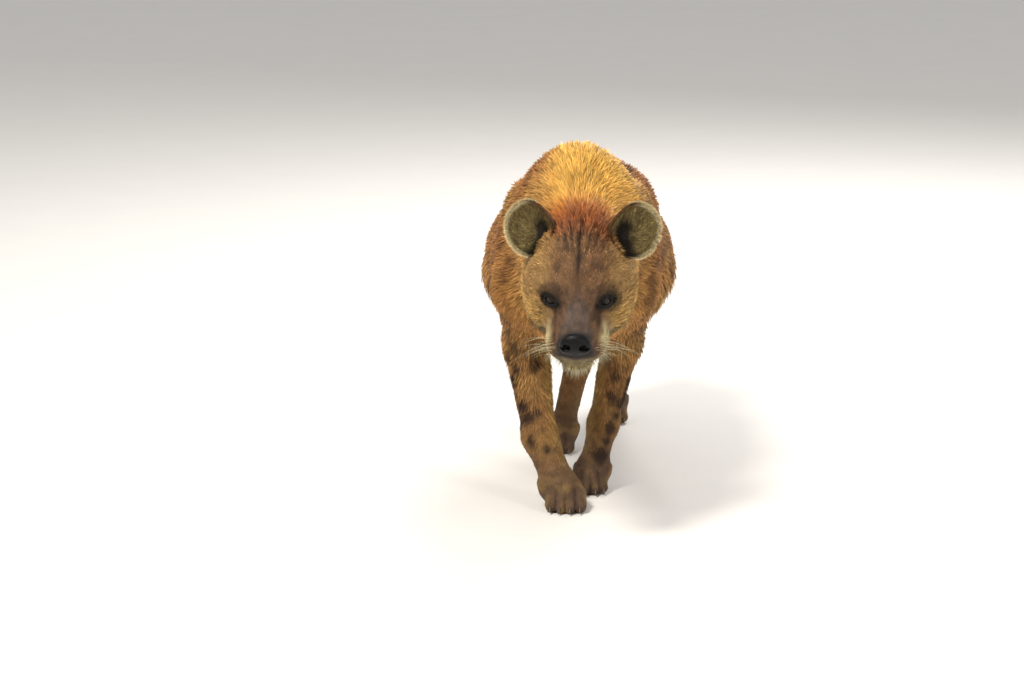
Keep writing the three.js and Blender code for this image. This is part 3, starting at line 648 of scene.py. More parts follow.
def make_mesh(name, verts, faces, colours=None, along=None, uv=None, smooth=True):
    """A mesh object from points in millimetres; faces is a list of index arrays, one for each face size."""
    mesh = bpy.data.meshes.new(name)
    verts = (verts + SHIFT) * MM
    groups = [g for g in faces if len(g)]
    loops = np.concatenate([g.ravel() for g in groups])
    sizes = np.concatenate([np.full(len(g), g.shape[1]) for g in groups])
    mesh.vertices.add(len(verts))
    mesh.vertices.foreach_set("co", verts.astype(np.float32).ravel())
    mesh.loops.add(len(loops))
    mesh.loops.foreach_set("vertex_index", loops.astype(np.int32))
    mesh.polygons.add(len(sizes))
    mesh.polygons.foreach_set("loop_start", np.concatenate([[0], np.cumsum(sizes)[:-1]]).astype(np.int32))
    mesh.polygons.foreach_set("use_smooth", np.full(len(sizes), smooth))
    if colours is not None:
        layer = mesh.color_attributes.new("coat_colour", "FLOAT_COLOR", "POINT")
        layer.data.foreach_set("color", np.c_[colours, np.ones(len(verts))].astype(np.float32).ravel())
    if along is not None:
        layer = mesh.attributes.new("along", "FLOAT", "POINT")
        layer.data.foreach_set("value", np.asarray(along, np.float32))
    if uv is not None:
        layer = mesh.uv_layers.new(name="OFBake")
        layer.data.foreach_set("uv", uv[loops].astype(np.float32).ravel())
    mesh.update(calc_edges=True)
    mesh.validate()
    obj = bpy.data.objects.new(name, mesh)
    bpy.context.collection.objects.link(obj)
    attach(obj, "root")
    return obj


def unwrap(p):
    """A place on the skin's own unwrap: round the trunk and head, and round each leg and the tail."""
    u = np.arctan2(p[:, 0] - 4, p[:, 2] - 500) / (2 * np.pi) + 0.5
    v = (p[:, 1] + 600) / 1500
    uv = np.stack([0.02 + u * 0.56, 0.02 + v * 0.96], 1)
    charts = [(leg["knuckle"], 0.61 + 0.095 * i) for i, (leg, _) in enumerate(LEGS)]
    low = p[:, 2] < 300
    reach = np.stack([np.linalg.norm(p[:, :2] - np.array(c[:2]), axis=1) for c, _ in charts], 1)
    which = reach.argmin(1)
    for i, (c, left) in enumerate(charts):
        on = low & (which == i)
        a = np.arctan2(p[on, 0] - c[0], p[on, 1] - c[1]) / (2 * np.pi) + 0.5
        uv[on] = np.stack([left + a * 0.085, 0.02 + p[on, 2] / 300 * 0.5], 1)
    tail = p[:, 1] > 775
    a = np.arctan2(p[tail, 0] - 15, p[tail, 1] - 812) / (2 * np.pi) + 0.5
    uv[tail] = np.stack([0.61 + a * 0.3, 0.56 + p[tail, 2] / 640 * 0.4], 1)
    return uv


TUFT_UV = np.array([(-1, -1), (1, -1), (-1, 0), (1, 0), (-0.7, 0.7), (0.7, 0.7), (0, 1)]) * 0.0014
BLADE_T = np.array([0, 0, 0.36, 0.36, 0.72, 0.72, 1.0])
BLADE_SIDE = np.array([-1, 1, -0.95, 0.95, -0.6, 0.6, 0])
# Painted shade along each blade: its brightness at the tip; the root's, given by base, is darker as if shaded
# deep in the coat
TIP_SHADE = 1.15
ROOT_DEPTH = 1.5
COAT_ABOVE_FLOOR, SKIN_ABOVE_FLOOR = 0.4, 0.3


def tufts(name, root, out, way, sizes, colour, seed, material, base=0.5, vary=0.18):
    """One piece of coat: a thin bent blade from each root, tapering to a point and paler towards it, with
    painted shade darkening it towards the root.
    """
    length, width, lift, curl = sizes
    rng = np.random.default_rng(seed)
    n = len(root)
    across = np.cross(way, out)
    roll = rng.normal(0, 0.5, n)[:, None]
    across = across * np.cos(roll) + out * np.sin(roll)
    swing = rng.normal(0, 0.12, n)[:, None]
    way = way + np.cross(way, out) * swing
    t = BLADE_T[None, :, None]
    rise = lift[:, None] * t[..., 0] - curl[:, None] * t[..., 0] ** 2
    points = (root[:, None] - out[:, None] * ROOT_DEPTH + way[:, None] * length[:, None, None] * t
              + out[:, None] * (length[:, None] * rise)[..., None]
              + across[:, None] * (width[:, None] / 2 * BLADE_SIDE[None])[..., None])
    points = points.reshape(-1, 3)
    points[:, 2] = np.maximum(points[:, 2], COAT_ABOVE_FLOOR)
    start = np.arange(n)[:, None] * len(BLADE_T)
    quads = np.concatenate([start + [0, 1, 3, 2], start + [2, 3, 5, 4]])
    tris = start + [4, 5, 6]
    # painted shade: each blade darkens from its tip to its root, as if shaded deep in the coat
    shade = base + (TIP_SHADE - base) * BLADE_T
    colours = (colour * rng.lognormal(0, vary, n)[:, None])[:, None] * shade[None, :, None]
    uv = (unwrap(root)[:, None] + TUFT_UV[None]).reshape(-1, 2)
    obj = make_mesh(name, points, [quads, tris], colours.reshape(-1, 3), np.tile(BLADE_T, n), uv)
    obj.data.materials.append(material)
    return obj


# Reading the skin back, and scattering hair roots over it


def skin_arrays():
    """The skin's points in millimetres, its normals and its triangles."""
    obj = bpy.data.objects.get("skin")
    if obj is None:
        raise RuntimeError("build the skin before the coat")
    mesh = obj.data
    co = np.empty(len(mesh.vertices) * 3, np.float32)
    mesh.vertices.foreach_get("co", co)
    normals = np.empty(len(mesh.vertices) * 3, np.float32)
    mesh.vertex_normals.foreach_get("vector", normals)
    mesh.calc_loop_triangles()
    tris = np.empty(len(mesh.loop_triangles) * 3, np.int32)
    mesh.loop_triangles.foreach_get("vertices", tris)
    return co.reshape(-1, 3) / MM - SHIFT, normals.reshape(-1, 3).astype(float), tris.reshape(-1, 3)


def scatter(arrays, zone, count, seed):
    """Random places on the skin, as dense as zone(points) says, and the way out at each."""
    verts, normals, tris = arrays
    rng = np.random.default_rng(seed)
    a, b, c = (verts[tris[:, i]] for i in range(3))
    area = np.linalg.norm(np.cross(b - a, c - a), axis=1)
    weight = area * zone((a + b + c) / 3)
    if weight.sum() <= 0:
        raise RuntimeError("a zone of the coat has no skin")
    pick = rng.choice(len(tris), count, p=weight / weight.sum())
    u, v = rng.random(count), rng.random(count)
    fold = u + v > 1
    u[fold], v[fold] = 1 - u[fold], 1 - v[fold]
    w = np.stack([1 - u - v, u, v], 1)
    root = np.einsum("ni,nij->nj", w, verts[tris[pick]])
    out = np.einsum("ni,nij->nj", w, normals[tris[pick]])
    return root, out / np.linalg.norm(out, axis=1)[:, None]


# Where the pieces of the coat meet, and the share of a full piece's tufts that the smaller ones get
FACE_BACK, CROWN_FRONT, NECK_BACK, TAIL_FRONT, LEG_TOP = -118, -30, -110, 768, 335
TUFT_SHARES = {"neck": 0.62, "hindlegs": 0.5, "crown": 0.8, "tail": 0.3}
EAR_TUFTS = {"outer": 7000, "inner": 8000, "rim": 1800}


def head_share(p):
    return (head_place(p)[:, 1] > FACE_BACK) & (p[:, 2] > 370) & (p[:, 1] < -250)


def neck_share(p):
    return (p[:, 1] < NECK_BACK) & (p[:, 2] > LEG_TOP) & ~head_share(p)


def tail_share(p):
    return (p[:, 1] > TAIL_FRONT) & (p[:, 0] < 56) & (p[:, 2] > 130)


def leg_share(p):
    return (p[:, 2] < LEG_TOP) & ~tail_share(p)


def trunk_share(p):
    return (p[:, 1] >= NECK_BACK) & (p[:, 2] >= LEG_TOP) & ~tail_share(p)


def off_face_holes(p):
    """0 where the eyes, the mouth's opening and the nose are, and 1 elsewhere."""
    keep = np.ones(len(p))
    for side in SIDES:
        keep *= np.linalg.norm(p - EYES[side], axis=1) > BARE_ROUND_EYE
        keep *= in_ear(side, p) > 1.04
        for cut in MOUTH_LINE[side]:
            keep *= cut(p) > 1.5
    h = head_place(p)
    return keep * (nose_field(p) > 1.0) * (h[:, 1] < 141)


def coat_sizes(p):
    """Length, width, lift and curl of a tuft rooted at each point."""
    h = head_place(p)
    x, f, u = np.abs(h[:, 0]), h[:, 1], h[:, 2]
    z = p[:, 2]
    side = np.abs(p[:, 0])
    length = 25 + 4 * ramp(-p[:, 1], 60, 200)
    lift = np.full(len(p), 0.5)
    ridge = np.exp(-((side / 52) ** 2)) * ramp(z, 640, 680)
    ridge *= ramp(-p[:, 1], -260, -120) * ramp(p[:, 1], -330, -290)
    length += ridge * 17
    lift -= ridge * 0.14
    fringe = ramp(side, 120, 165) * ramp(p[:, 1], 90, 150) * (1 - ramp(p[:, 1], 470, 540))
    fringe *= ramp(z, 380, 420) * (1 - ramp(z, 475, 510))
    length += fringe * 30
    low = 1 - ramp(z, 110, 400)
    length = length * (1 - low) + 10.5 * low
    lift = lift * (1 - low) + 0.36 * low
    paw = 1 - ramp(z, 50, 95)
    length = length * (1 - paw) + 6.5 * paw
    tail = ramp(p[:, 1], 765, 785) * ramp(z, 150, 200) * (side < 56)
    length = length * (1 - tail) + (26 + 62 * (1 - ramp(z, 300, 380))) * tail
    face = ramp(f, -150, -95) * ramp(z, 340, 370)
    short = 16 - 5 * ramp(f, -80, -10) - 4 * ramp(f, 0, 60) - 2.5 * ramp(f, 70, 120)
    cheek = ramp(x, 52, 80) * (1 - ramp(f, 5, 40)) * ramp(-u, -20, 30)
    short = short + 7 * cheek
    by_ear = np.minimum(in_ear(RIGHT, p), in_ear(LEFT, p))
    short = short + 14 * (1 - ramp(by_ear, 1.1, 1.45)) * (by_ear > 1)
    short = short + 12 * ramp(-f, 55, 105) * ramp(x, 56, 84) * ramp(-u, -20, 20)
    crest = ramp(-f, 92, 125) * (1 - ramp(x, 38, 62)) * ramp(u, 25, 45)
    short = short + 20 * crest
    chin = ramp(-u, 66, 80) * ramp(f, 0, 60)
    short = short + 12 * chin
    length = length * (1 - face) + short * face
    lift = lift * (1 - face) + (0.24 + 0.2 * cheek + 0.35 * crest + 0.4 * chin) * face
    width = np.clip(0.092 * length, 0.85, 3.1)
    return length, width, lift, lift * 0.45


def grow(name, arrays, zone, count, seed, material, long=1.0, vary=0.26):
    """Scatters one piece of the coat over its zone and returns it."""
    root, out = scatter(arrays, zone, count, seed)
    way = lie_of_coat(root, out)
    length, width, lift, curl = coat_sizes(root)
    rng = np.random.default_rng(seed + 1)
    length = length * long * rng.uniform(0.72, 1.2, count)
    lift = lift * rng.uniform(0.45, 1.2, count)
    sizes = (length, width, lift, curl)
    piece = tufts(name, root, out, way, sizes, markings(root, out), seed, material, vary=vary)
    return piece


# Ears, nose, lids and eyes

EAR_PLACE = np.array([110, 146, 66])
EAR_SIZE = (56.0, 59.0)
EAR_DEEP = 46.0
EAR_THIN = 3.4
EAR_SHALLOW = 0.62
EAR_LEAN_OUT, EAR_LEAN_UP = 0.3, 0.35
EAR_TILT = (Matrix.Rotation(math.radians(-34), 3, "X"), 8, 20)
EAR_DRAW = (0.12, -0.9, 0.5)
TEARS = ((1.45, 0.11, 0.06), (1.87, 0.12, 0.07))


def ear_point(side, phi, t, inner):
    """A point on the ear's bowl: phi round the rim from the top outwards, t from the bottom to the rim."""
    edge = np.ones_like(phi)
    if side == LEFT:
        for place, cut, spread in TEARS:
            edge = edge - cut * np.exp(-(((phi - place) / spread) ** 2))
    t = t * edge
    wall = EAR_THIN if inner else 0.0
    r = np.sin(t) * (1 - wall / EAR_SIZE[0])
    deep = 1.2 - np.cos(t) * (EAR_DEEP - wall) * EAR_SHALLOW if inner else -np.cos(t) * EAR_DEEP
    by, place, over = EAR_DRAW
    off = (np.mod(phi - place + math.pi, 2 * math.pi) - math.pi) / over
    draw = 1 - by * np.exp(-(off**2))
    x, z = side * r * np.sin(phi), r * np.cos(phi)
    q = np.stack([
        x * EAR_SIZE[0] * (1 + 0.12 * z) * draw + side * deep * EAR_LEAN_OUT,
        -deep,
        z * EAR_SIZE[1] * (1 + 0.1 * z * np.abs(z)) * draw + deep * EAR_LEAN_UP,
    ], -1)
    q = q @ ear_turn(side).T + EAR_PLACE * [side, 1, 1]
    return HEAD_ORIGIN + q @ HEAD_TURN.T


def ear_turn(side):
    tilt, lean, out = EAR_TILT
    return np.array(tilt @ Matrix.Rotation(math.radians(side * lean), 3, "Y")
                    @ Matrix.Rotation(math.radians(side * out), 3, "Z"))


def unit(v):
    return v / np.maximum(np.linalg.norm(v, axis=-1, keepdims=True), 1e-9)


def ear_colour(phi, t, inner):
    """Colours over the ear: dark behind, olive inside with a hollow blackened by painted shade, and paler
    towards the rim.
    """
    place = np.stack([phi * 20, t * 30, np.full_like(t, 7.0 * inner)], 1)
    fine = noise(place, 3, 71)
    outward = ramp(np.sin(phi), -0.3, 0.25)
    if not inner:
        back = mix(mix(UMBER, DARK, 0.3 + 0.4 * fine), RUST, 1 - ramp(t, 0.5, 1.1))
        return mix(back, CREAM, ramp(t, 1.42, 1.52) * 0.7 * outward)
    out, high = np.sin(t) * np.sin(phi), np.sin(t) * np.cos(phi)
    along = np.clip((0.1 - high) / 0.95, 0, 1)
    hollow = np.hypot(out - (-0.2 + 0.24 * along), high - (0.16 - 0.95 * along))
    colour = mix(srgb(150, 132, 84), srgb(88, 72, 48), fine)
    colour = mix(colour, CREAM, ramp(t, 1.25, 1.5) * 0.6 * outward)
    colour = mix(colour, UMBER * 0.6, ramp(t, 0.9, 1.4) * 0.7 * (1 - outward))
    # painted shade: the deep hollow of the bowl is blackened
    return mix(colour, srgb(24, 18, 16), (1 - ramp(hollow + 0.12 * (fine - 0.5), 0.2, 0.48)) * 0.95)


def in_ear(side, p):
    """How far out a point lies in the ear's bowl, 1 at its wall; over 1 in front of its rim."""
    q = ((p - HEAD_ORIGIN) @ HEAD_TURN - EAR_PLACE * [side, 1, 1]) @ ear_turn(side)
    deep = -q[:, 1]
    x = (q[:, 0] - side * deep * EAR_LEAN_OUT) / EAR_SIZE[0]
    z = (q[:, 2] - deep * EAR_LEAN_UP) / EAR_SIZE[1]
    r = np.sqrt(x**2 + z**2 + (deep / EAR_DEEP) ** 2)
    return np.where(deep > 14, 9.0, r)


def nose_field(p):
    parts = [hmuscle((0, 134, -15), (31, 17, 25)), hmuscle((0, 128, -36), (20, 14, 16))]
    parts += [hmuscle((side * 19, 132, -22), (14, 15, 16)) for side in SIDES]
    return melt(7, *parts)(p)


def nostril_field(p):
    """The nose with its nostrils and the groove down its middle."""
    d = nose_field(p)
    h = head_place(p) * np.array([1, -1, 1])
    for side in SIDES:
        for centre, radii, roll, turn in (
            ((side * 18, -150, -14), (8.5, 14, 7.5), 0, side * 20),
            ((side * 27, -143, -20), (6, 8, 2.8), side * -24, side * 35),
        ):
            axes = Euler((0, math.radians(roll), math.radians(turn))).to_matrix()
            q = (h - np.array(centre)) @ np.array(axes)
            pit = muscle((0, 0, 0), radii)(q)
            d = -smooth_min(-d, pit, 2.5)
    groove = muscle((0, -152, -38), (1.8, 7, 15))(h)
    return -smooth_min(-d, groove, 1.5)


LID_SLANT = math.radians(8)
CORNEA_BULGE = 1.3
LID_ABOVE_EYE = 1.5


def gaze_axes(side):
    """The eye's line of sight, its slanting width and its height, as unit vectors."""
    sight = HEAD_TURN @ np.array([side * 0.25, -0.95, 0.2])
    sight /= np.linalg.norm(sight)
    across = np.cross(sight, HEAD_TURN @ np.array([0, 0, 1.0])) * -side
    across /= np.linalg.norm(across)
    up = np.cross(sight, across)
    up *= np.sign(up[2])
    c, s = math.cos(LID_SLANT), math.sin(LID_SLANT)
    return sight, across * c + up * s, up * c - across * s


def fall_onto(field, start, way, reach):
    """Walks from each start along way until the field is met."""
    near, far = np.zeros(len(start)), np.full(len(start), reach)
    steps = np.linspace(0, reach, 45)
    for a, b in zip(steps, steps[1:]):
        hit = (field(start + way * b) < 0) & (far == reach)
        near[hit], far[hit] = a, b
    for _ in range(8):
        middle = (near + far) / 2
        inside = field(start + way * middle[:, None]) < 0
        far = np.where(inside, middle, far)
        near = np.where(inside, near, middle)
    return start + way * far[:, None]


def grid_faces(rows, columns, close=True):
    """Quads over rows of points, each row a ring if close."""
    r, c = np.meshgrid(np.arange(rows - 1), np.arange(columns if close else columns - 1), indexing="ij")
    n = (c + 1) % columns
    here, above = r * columns, (r + 1) * columns
    return np.stack([here + c, here + n, above + n, above + c], -1).reshape(-1, 4)


def tube(path, radii, sides):
    """A round tube along a path, closed to a point at its end."""
    path = np.asarray(path, float)
    along = np.gradient(path, axis=0)
    along /= np.linalg.norm(along, axis=1)[:, None]
    side = np.cross(along, np.array([0.3, 0.2, 0.93]))
    side /= np.linalg.norm(side, axis=1)[:, None]
    up = np.cross(along, side)
    a = np.arange(sides) / sides * 2 * math.pi
    ring = np.cos(a)[None, :, None] * side[:, None] + np.sin(a)[None, :, None] * up[:, None]
    points = path[:, None] + ring * np.asarray(radii)[:, None, None]
    return points.reshape(-1, 3), grid_faces(len(path), sides)


def join_tubes(tubes):
    verts, faces, count = [], [], 0
    for v, f in tubes:
        verts.append(v)
        faces.append(f + count)
        count += len(v)
    return np.concatenate(verts), np.concatenate(faces)


# Materials


def new_group(name, inputs, outputs):
    group = bpy.data.node_groups.new(name, "ShaderNodeTree")
    for kind, label, value in inputs:
        item = group.interface.new_socket(label, in_out="INPUT", socket_type=kind)
        if value is not None:
            item.default_value = value
    for kind, label in outputs:
        group.interface.new_socket(label, in_out="OUTPUT", socket_type=kind)
    return group, group.nodes.new("NodeGroupInput"), group.nodes.new("NodeGroupOutput")


def add(tree, kind, inputs=(), **facts):
    """A node with its properties set and its sockets given a value or linked to another socket."""
    node = tree.nodes.new(kind)
    for key, value in facts.items():
        setattr(node, key, value)
    for key, value in dict(inputs).items():
        if isinstance(value, bpy.types.NodeSocket):
            tree.links.new(value, node.inputs[key])
        else:
            node.inputs[key].default_value = value
    return node


def grain_group():
    """Fine variation for hair, skin and horn: a lighter and darker colour and a bumped normal."""
    found = bpy.data.node_groups.get("Fine grain")
    if found:
        return found
    group, given, result = new_group(
        "Fine grain",
        [("NodeSocketColor", "Colour", (0.5, 0.5, 0.5, 1)), ("NodeSocketFloat", "Size", 300.0),
         ("NodeSocketFloat", "Contrast", 0.3), ("NodeSocketFloat", "Bump", 0.3),
         ("NodeSocketFloat", "Depth", 0.001)],
        [("NodeSocketColor", "Colour"), ("NodeSocketVector", "Normal")],
    )
    place = add(group, "ShaderNodeTexCoord")
    fine = add(group, "ShaderNodeTexNoise", {
        "Vector": place.outputs["Object"],
        "Scale": given.outputs["Size"],
        "Detail": 3.0,
        "Roughness": 0.6,
    })
    centred = add(group, "ShaderNodeMath", {0: fine.outputs["Fac"], 1: 0.5}, operation="SUBTRACT")
    scaled = add(group, "ShaderNodeMath", {0: centred.outputs[0], 1: given.outputs["Contrast"], 2: 1.0},
                 operation="MULTIPLY_ADD")
    shade = add(group, "ShaderNodeVectorMath", {0: given.outputs["Colour"], "Scale": scaled.outputs[0]},
                operation="SCALE")
    bump = add(group, "ShaderNodeBump", {"Height": fine.outputs["Fac"], "Strength": given.outputs["Bump"],
                                         "Distance": given.outputs["Depth"]})
    group.links.new(shade.outputs[0], result.inputs["Colour"])
    group.links.new(bump.outputs[0], result.inputs["Normal"])
    return group


def pebble_group():
    """Rounded pebbles for bare leather: a height, and a normal bumped by it."""
    found = bpy.data.node_groups.get("Pebbled leather")
    if found:
        return found
    group, given, result = new_group(
        "Pebbled leather",
        [("NodeSocketFloat", "Size", 600.0), ("NodeSocketFloat", "Bump", 0.5)],
        [("NodeSocketFloat", "Height"), ("NodeSocketVector", "Normal")],
    )
    place = add(group, "ShaderNodeTexCoord")
    cells = add(group, "ShaderNodeTexVoronoi", {
        "Vector": place.outputs["Object"],
        "Scale": given.outputs["Size"],
    })
    height = add(group, "ShaderNodeMath", {0: 1.0, 1: cells.outputs["Distance"]}, operation="SUBTRACT")
    bump = add(group, "ShaderNodeBump", {"Height": height.outputs[0], "Strength": given.outputs["Bump"],
                                         "Distance": 0.0006})
    group.links.new(height.outputs[0], result.inputs["Height"])
    group.links.new(bump.outputs[0], result.inputs["Normal"])
    return group


def new_material(name):
    material = bpy.data.materials.new(name)
    material.use_nodes = True
    tree = material.node_tree
    shader = tree.nodes["Principled BSDF"]
    return material, tree, shader


def grained(tree, shader, colour, size, contrast, bump, depth):
    grain = add(tree, "ShaderNodeGroup", node_tree=grain_group())
    if isinstance(colour, bpy.types.NodeSocket):
        tree.links.new(colour, grain.inputs["Colour"])
    else:
        grain.inputs["Colour"].default_value = (*colour, 1)
    for key, value in (("Size", size), ("Contrast", contrast), ("Bump", bump), ("Depth", depth)):
        grain.inputs[key].default_value = value
    tree.links.new(grain.outputs["Colour"], shader.inputs["Base Color"])
    tree.links.new(grain.outputs["Normal"], shader.inputs["Normal"])
    return grain


def hair_material(name, sheen=0.02):
    """Coat hair: the colour stored on each tuft, finely varied."""
    found = bpy.data.materials.get(name)
    if found:
        return found
    material, tree, shader = new_material(name)
    stored = add(tree, "ShaderNodeAttribute", attribute_name="coat_colour")
    grained(tree, shader, stored.outputs["Color"], 420.0, 0.5, 0.15, 0.0006)
    shader.inputs["Roughness"].default_value = 0.58
    shader.inputs["Specular IOR Level"].default_value = 0.16
    shader.inputs["Sheen Weight"].default_value = sheen
    shader.inputs["Sheen Roughness"].default_value = 0.5
    return material


def skin_material():
    """Skin under the coat: the same markings, darker between the hairs as painted shade."""
    material, tree, shader = new_material("skin under the coat")
    stored = add(tree, "ShaderNodeAttribute", attribute_name="coat_colour")
    grained(tree, shader, stored.outputs["Color"], 260.0, 0.8, 0.5, 0.002)
    shader.inputs["Roughness"].default_value = 0.7
    shader.inputs["Specular IOR Level"].default_value = 0.2
    return material


def leather_material(name, colour, rough, size, bump, shine=0.3):
    """Bare dark leather of the nose and lids, with painted shade darkening the gaps between its pebbles and
    their tops painted lighter.
    """
    material, tree, shader = new_material(name)
    pebble = add(tree, "ShaderNodeGroup", {"Size": size, "Bump": bump}, node_tree=pebble_group())
    # painted shade and light: the gaps between the pebbles are darkened and their tops lightened
    ramp_node = add(tree, "ShaderNodeValToRGB", {"Fac": pebble.outputs["Height"]})
    ramp_node.color_ramp.elements[0].color = (*(colour * 0.4), 1)
    ramp_node.color_ramp.elements[1].color = (*(colour * 1.3), 1)
    tree.links.new(ramp_node.outputs["Color"], shader.inputs["Base Color"])
    tree.links.new(pebble.outputs["Normal"], shader.inputs["Normal"])
    shader.inputs["Roughness"].default_value = rough
    shader.inputs["Specular IOR Level"].default_value = shine
    shader.inputs["Coat Weight"].default_value = 0.06
    shader.inputs["Coat Roughness"].default_value = 0.4
    return material


def horn_material(name, colour, rough=0.4):
    """Claws and whiskers: dark horn with fine streaks."""
    material, tree, shader = new_material(name)
    grained(tree, shader, colour, 900.0, 0.9, 0.2, 0.0003)
    shader.inputs["Roughness"].default_value = rough
    return material


def eye_material():
    """A wet eye: black pupil, streaked brown iris and a dusky rim, by distance from the line of sight."""
    material, tree, shader = new_material("wet eye")
    stored = add(tree, "ShaderNodeAttribute", attribute_name="along")
    grain = add(tree, "ShaderNodeGroup", node_tree=grain_group())
    for key, value in (("Size", 700.0), ("Contrast", 0.9), ("Bump", 0.0)):
        grain.inputs[key].default_value = value
    ramp_node = add(tree, "ShaderNodeValToRGB", {"Fac": stored.outputs["Fac"]})
    stops = ramp_node.color_ramp.elements
    stops[0].position, stops[0].color = 0.0, (0.002, 0.002, 0.002, 1)
    stops[1].position, stops[1].color = 1.0, (0.05, 0.025, 0.02, 1)
    for place, colour in ((0.26, (0.002, 0.002, 0.002, 1)), (0.3, (0.045, 0.02, 0.009, 1)),
                          (0.56, (0.028, 0.013, 0.006, 1)), (0.64, (0.004, 0.003, 0.003, 1)),
                          (0.74, (0.09, 0.055, 0.045, 1))):
        stop = stops.new(place)
        stop.color = colour
    tree.links.new(ramp_node.outputs["Color"], grain.inputs["Colour"])
    tree.links.new(grain.outputs["Colour"], shader.inputs["Base Color"])
    shader.inputs["Roughness"].default_value = 0.3
    shader.inputs["Specular IOR Level"].default_value = 0.15
    shader.inputs["Coat Weight"].default_value = 0.3
    shader.inputs["Coat Roughness"].default_value = 0.02
    return material


def floor_material():
    material, tree, shader = new_material("pale floor")
    grained(tree, shader, srgb(236, 232, 226), 6.0, 0.05, 0.05, 0.001)
    shader.inputs["Roughness"].default_value = 0.75
    shader.inputs["Specular IOR Level"].default_value = 0.2
    return material


# The add-on: settings, one operator for each piece or group of like pieces, and a panel


SKIN_BOX = ((-245, -590, -8), (245, 870, 830))
WHISKERS_EACH_SIDE, CHIN_BRISTLES = 20, 620
FLOOR_LOW, FLOOR_HIGH, FLOOR_POINTS = (-30, -30), (30, 60), 40


class HyenaSkinSettings(bpy.types.PropertyGroup):
    """How finely the skin is built."""

    cell: bpy.props.FloatProperty(name="Cell", description="Side of the net's cells in millimetres",
                                  default=5.6, min=3.0, max=20.0)
    nose_cell: bpy.props.FloatProperty(name="Nose cell", description="Side of the nose's cells, millimetres",
                                       default=1.3, min=0.6, max=5.0)


class HyenaCoatSettings(bpy.types.PropertyGroup):
    """How thick the coat is."""

    tufts: bpy.props.IntProperty(name="Tufts", description="Tufts in a full piece of the coat",
                                 default=39000, min=100, max=39900)
    long: bpy.props.FloatProperty(name="Length", description="Scale of the hair's length",
                                  default=1.0, min=0.2, max=2.0)
    seed: bpy.props.IntProperty(name="Seed", description="Start of the random sequence", default=7, min=0)


class HyenaStageSettings(bpy.types.PropertyGroup):
    """The camera and lights."""

    lens: bpy.props.FloatProperty(name="Lens", description="Focal length in millimetres",
                                  default=126.23, min=20.0)
    distance: bpy.props.FloatProperty(name="Distance", description="From the shoulders to the camera",
                                      default=8.0, min=1.0, subtype="DISTANCE", unit="LENGTH")
    pitch: bpy.props.FloatProperty(name="Pitch", description="How far the camera looks down",
                                   default=math.radians(11.96), subtype="ANGLE", unit="ROTATION")
    swing: bpy.props.FloatProperty(name="Swing", description="How far the camera is turned to its left",
                                   default=math.radians(1.074), subtype="ANGLE", unit="ROTATION")
    aim: bpy.props.FloatProperty(name="Aim", description="Height of the point that the camera looks at",
                                 default=0.3523, subtype="DISTANCE", unit="LENGTH")
    key: bpy.props.FloatProperty(name="Key", description="Key light", default=250.0, min=0.0, unit="POWER")
    fill: bpy.props.FloatProperty(name="Fill", description="Fill light", default=60.0, min=0.0, unit="POWER")
    rim: bpy.props.FloatProperty(name="Rim", description="Light from behind",
                                 default=150.0, min=0.0, unit="POWER")


class HYENA_OT_skin(bpy.types.Operator):
    """Build the skin that the coat grows from"""

    bl_idname = "hyena.skin"
    bl_label = "Skin"

    def execute(self, context):
        cell = context.scene.hyena_skin.cell
        verts, quads = net(skin_field, *SKIN_BOX, cell)
        work = bmesh.new()
        mesh = bpy.data.meshes.new("net")
        mesh.from_pydata(verts.tolist(), [], quads.tolist())
        work.from_mesh(mesh)
        edges = [e for e in work.edges if all(v.co.y < -330 and v.co.z > 400 for v in e.verts)]
        bmesh.ops.subdivide_edges(work, edges=edges, cuts=1, use_grid_fill=True)
        work.to_mesh(mesh)
        work.free()
        co = np.empty(len(mesh.vertices) * 3, np.float32)
        mesh.vertices.foreach_get("co", co)
        verts, out = settle(skin_field, co.reshape(-1, 3).astype(float), steps=2)
        verts[:, 2] = np.maximum(verts[:, 2], SKIN_ABOVE_FLOOR)
        groups = {}
        for polygon in mesh.polygons:
            groups.setdefault(len(polygon.vertices), []).append(tuple(polygon.vertices))
        bpy.data.meshes.remove(mesh)
        faces = [np.array(group) for group in groups.values()]
        # painted shade: the skin takes the coat's markings, darkened as if shaded by the hair above it
        skin = make_mesh("skin", verts, faces, markings(verts, out) * SKIN_PAINTED_SHADE)
        skin.data.materials.append(skin_material())
        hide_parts(*[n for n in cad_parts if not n.startswith(("ear_", "eye_", "nose"))])
        return {"FINISHED"}


class HYENA_OT_body_coat(bpy.types.Operator):
    """Grow the coat of the trunk and neck"""

    bl_idname = "hyena.body_coat"
    bl_label = "Trunk and neck coat"

    def execute(self, context):
        coat = context.scene.hyena_coat
        arrays = skin_arrays()
        hair = hair_material("coat hair")
        for side, word in ((RIGHT, "right"), (LEFT, "left")):
            def half(p, side=side):
                return (p[:, 0] * side >= 0) & trunk_share(p)

            def neck_half(p, side=side):
                return (p[:, 0] * side >= 0) & neck_share(p)

            grow(f"coat_trunk_{word}", arrays, half, coat.tufts, coat.seed + side, hair,
                 coat.long)
            count = int(coat.tufts * TUFT_SHARES["neck"])
            grow(f"coat_neck_{word}", arrays, neck_half, count, coat.seed + 10 + side, hair,
                 coat.long, 0.18)
        return {"FINISHED"}


class HYENA_OT_leg_coat(bpy.types.Operator):
    """Grow the coat of the legs and paws"""

    bl_idname = "hyena.leg_coat"
    bl_label = "Leg coat"

    def execute(self, context):
        coat = context.scene.hyena_coat
        arrays = skin_arrays()
        hair = hair_material("coat hair")

        def forelegs(p):
            return leg_share(p) & (p[:, 1] < 260)

        def hindlegs(p):
            return leg_share(p) & (p[:, 1] >= 260)

        grow("coat_forelegs", arrays, forelegs, coat.tufts, coat.seed + 20, hair, coat.long)
        count = int(coat.tufts * TUFT_SHARES["hindlegs"])
        grow("coat_hindlegs", arrays, hindlegs, count, coat.seed + 21, hair, coat.long)
        return {"FINISHED"}


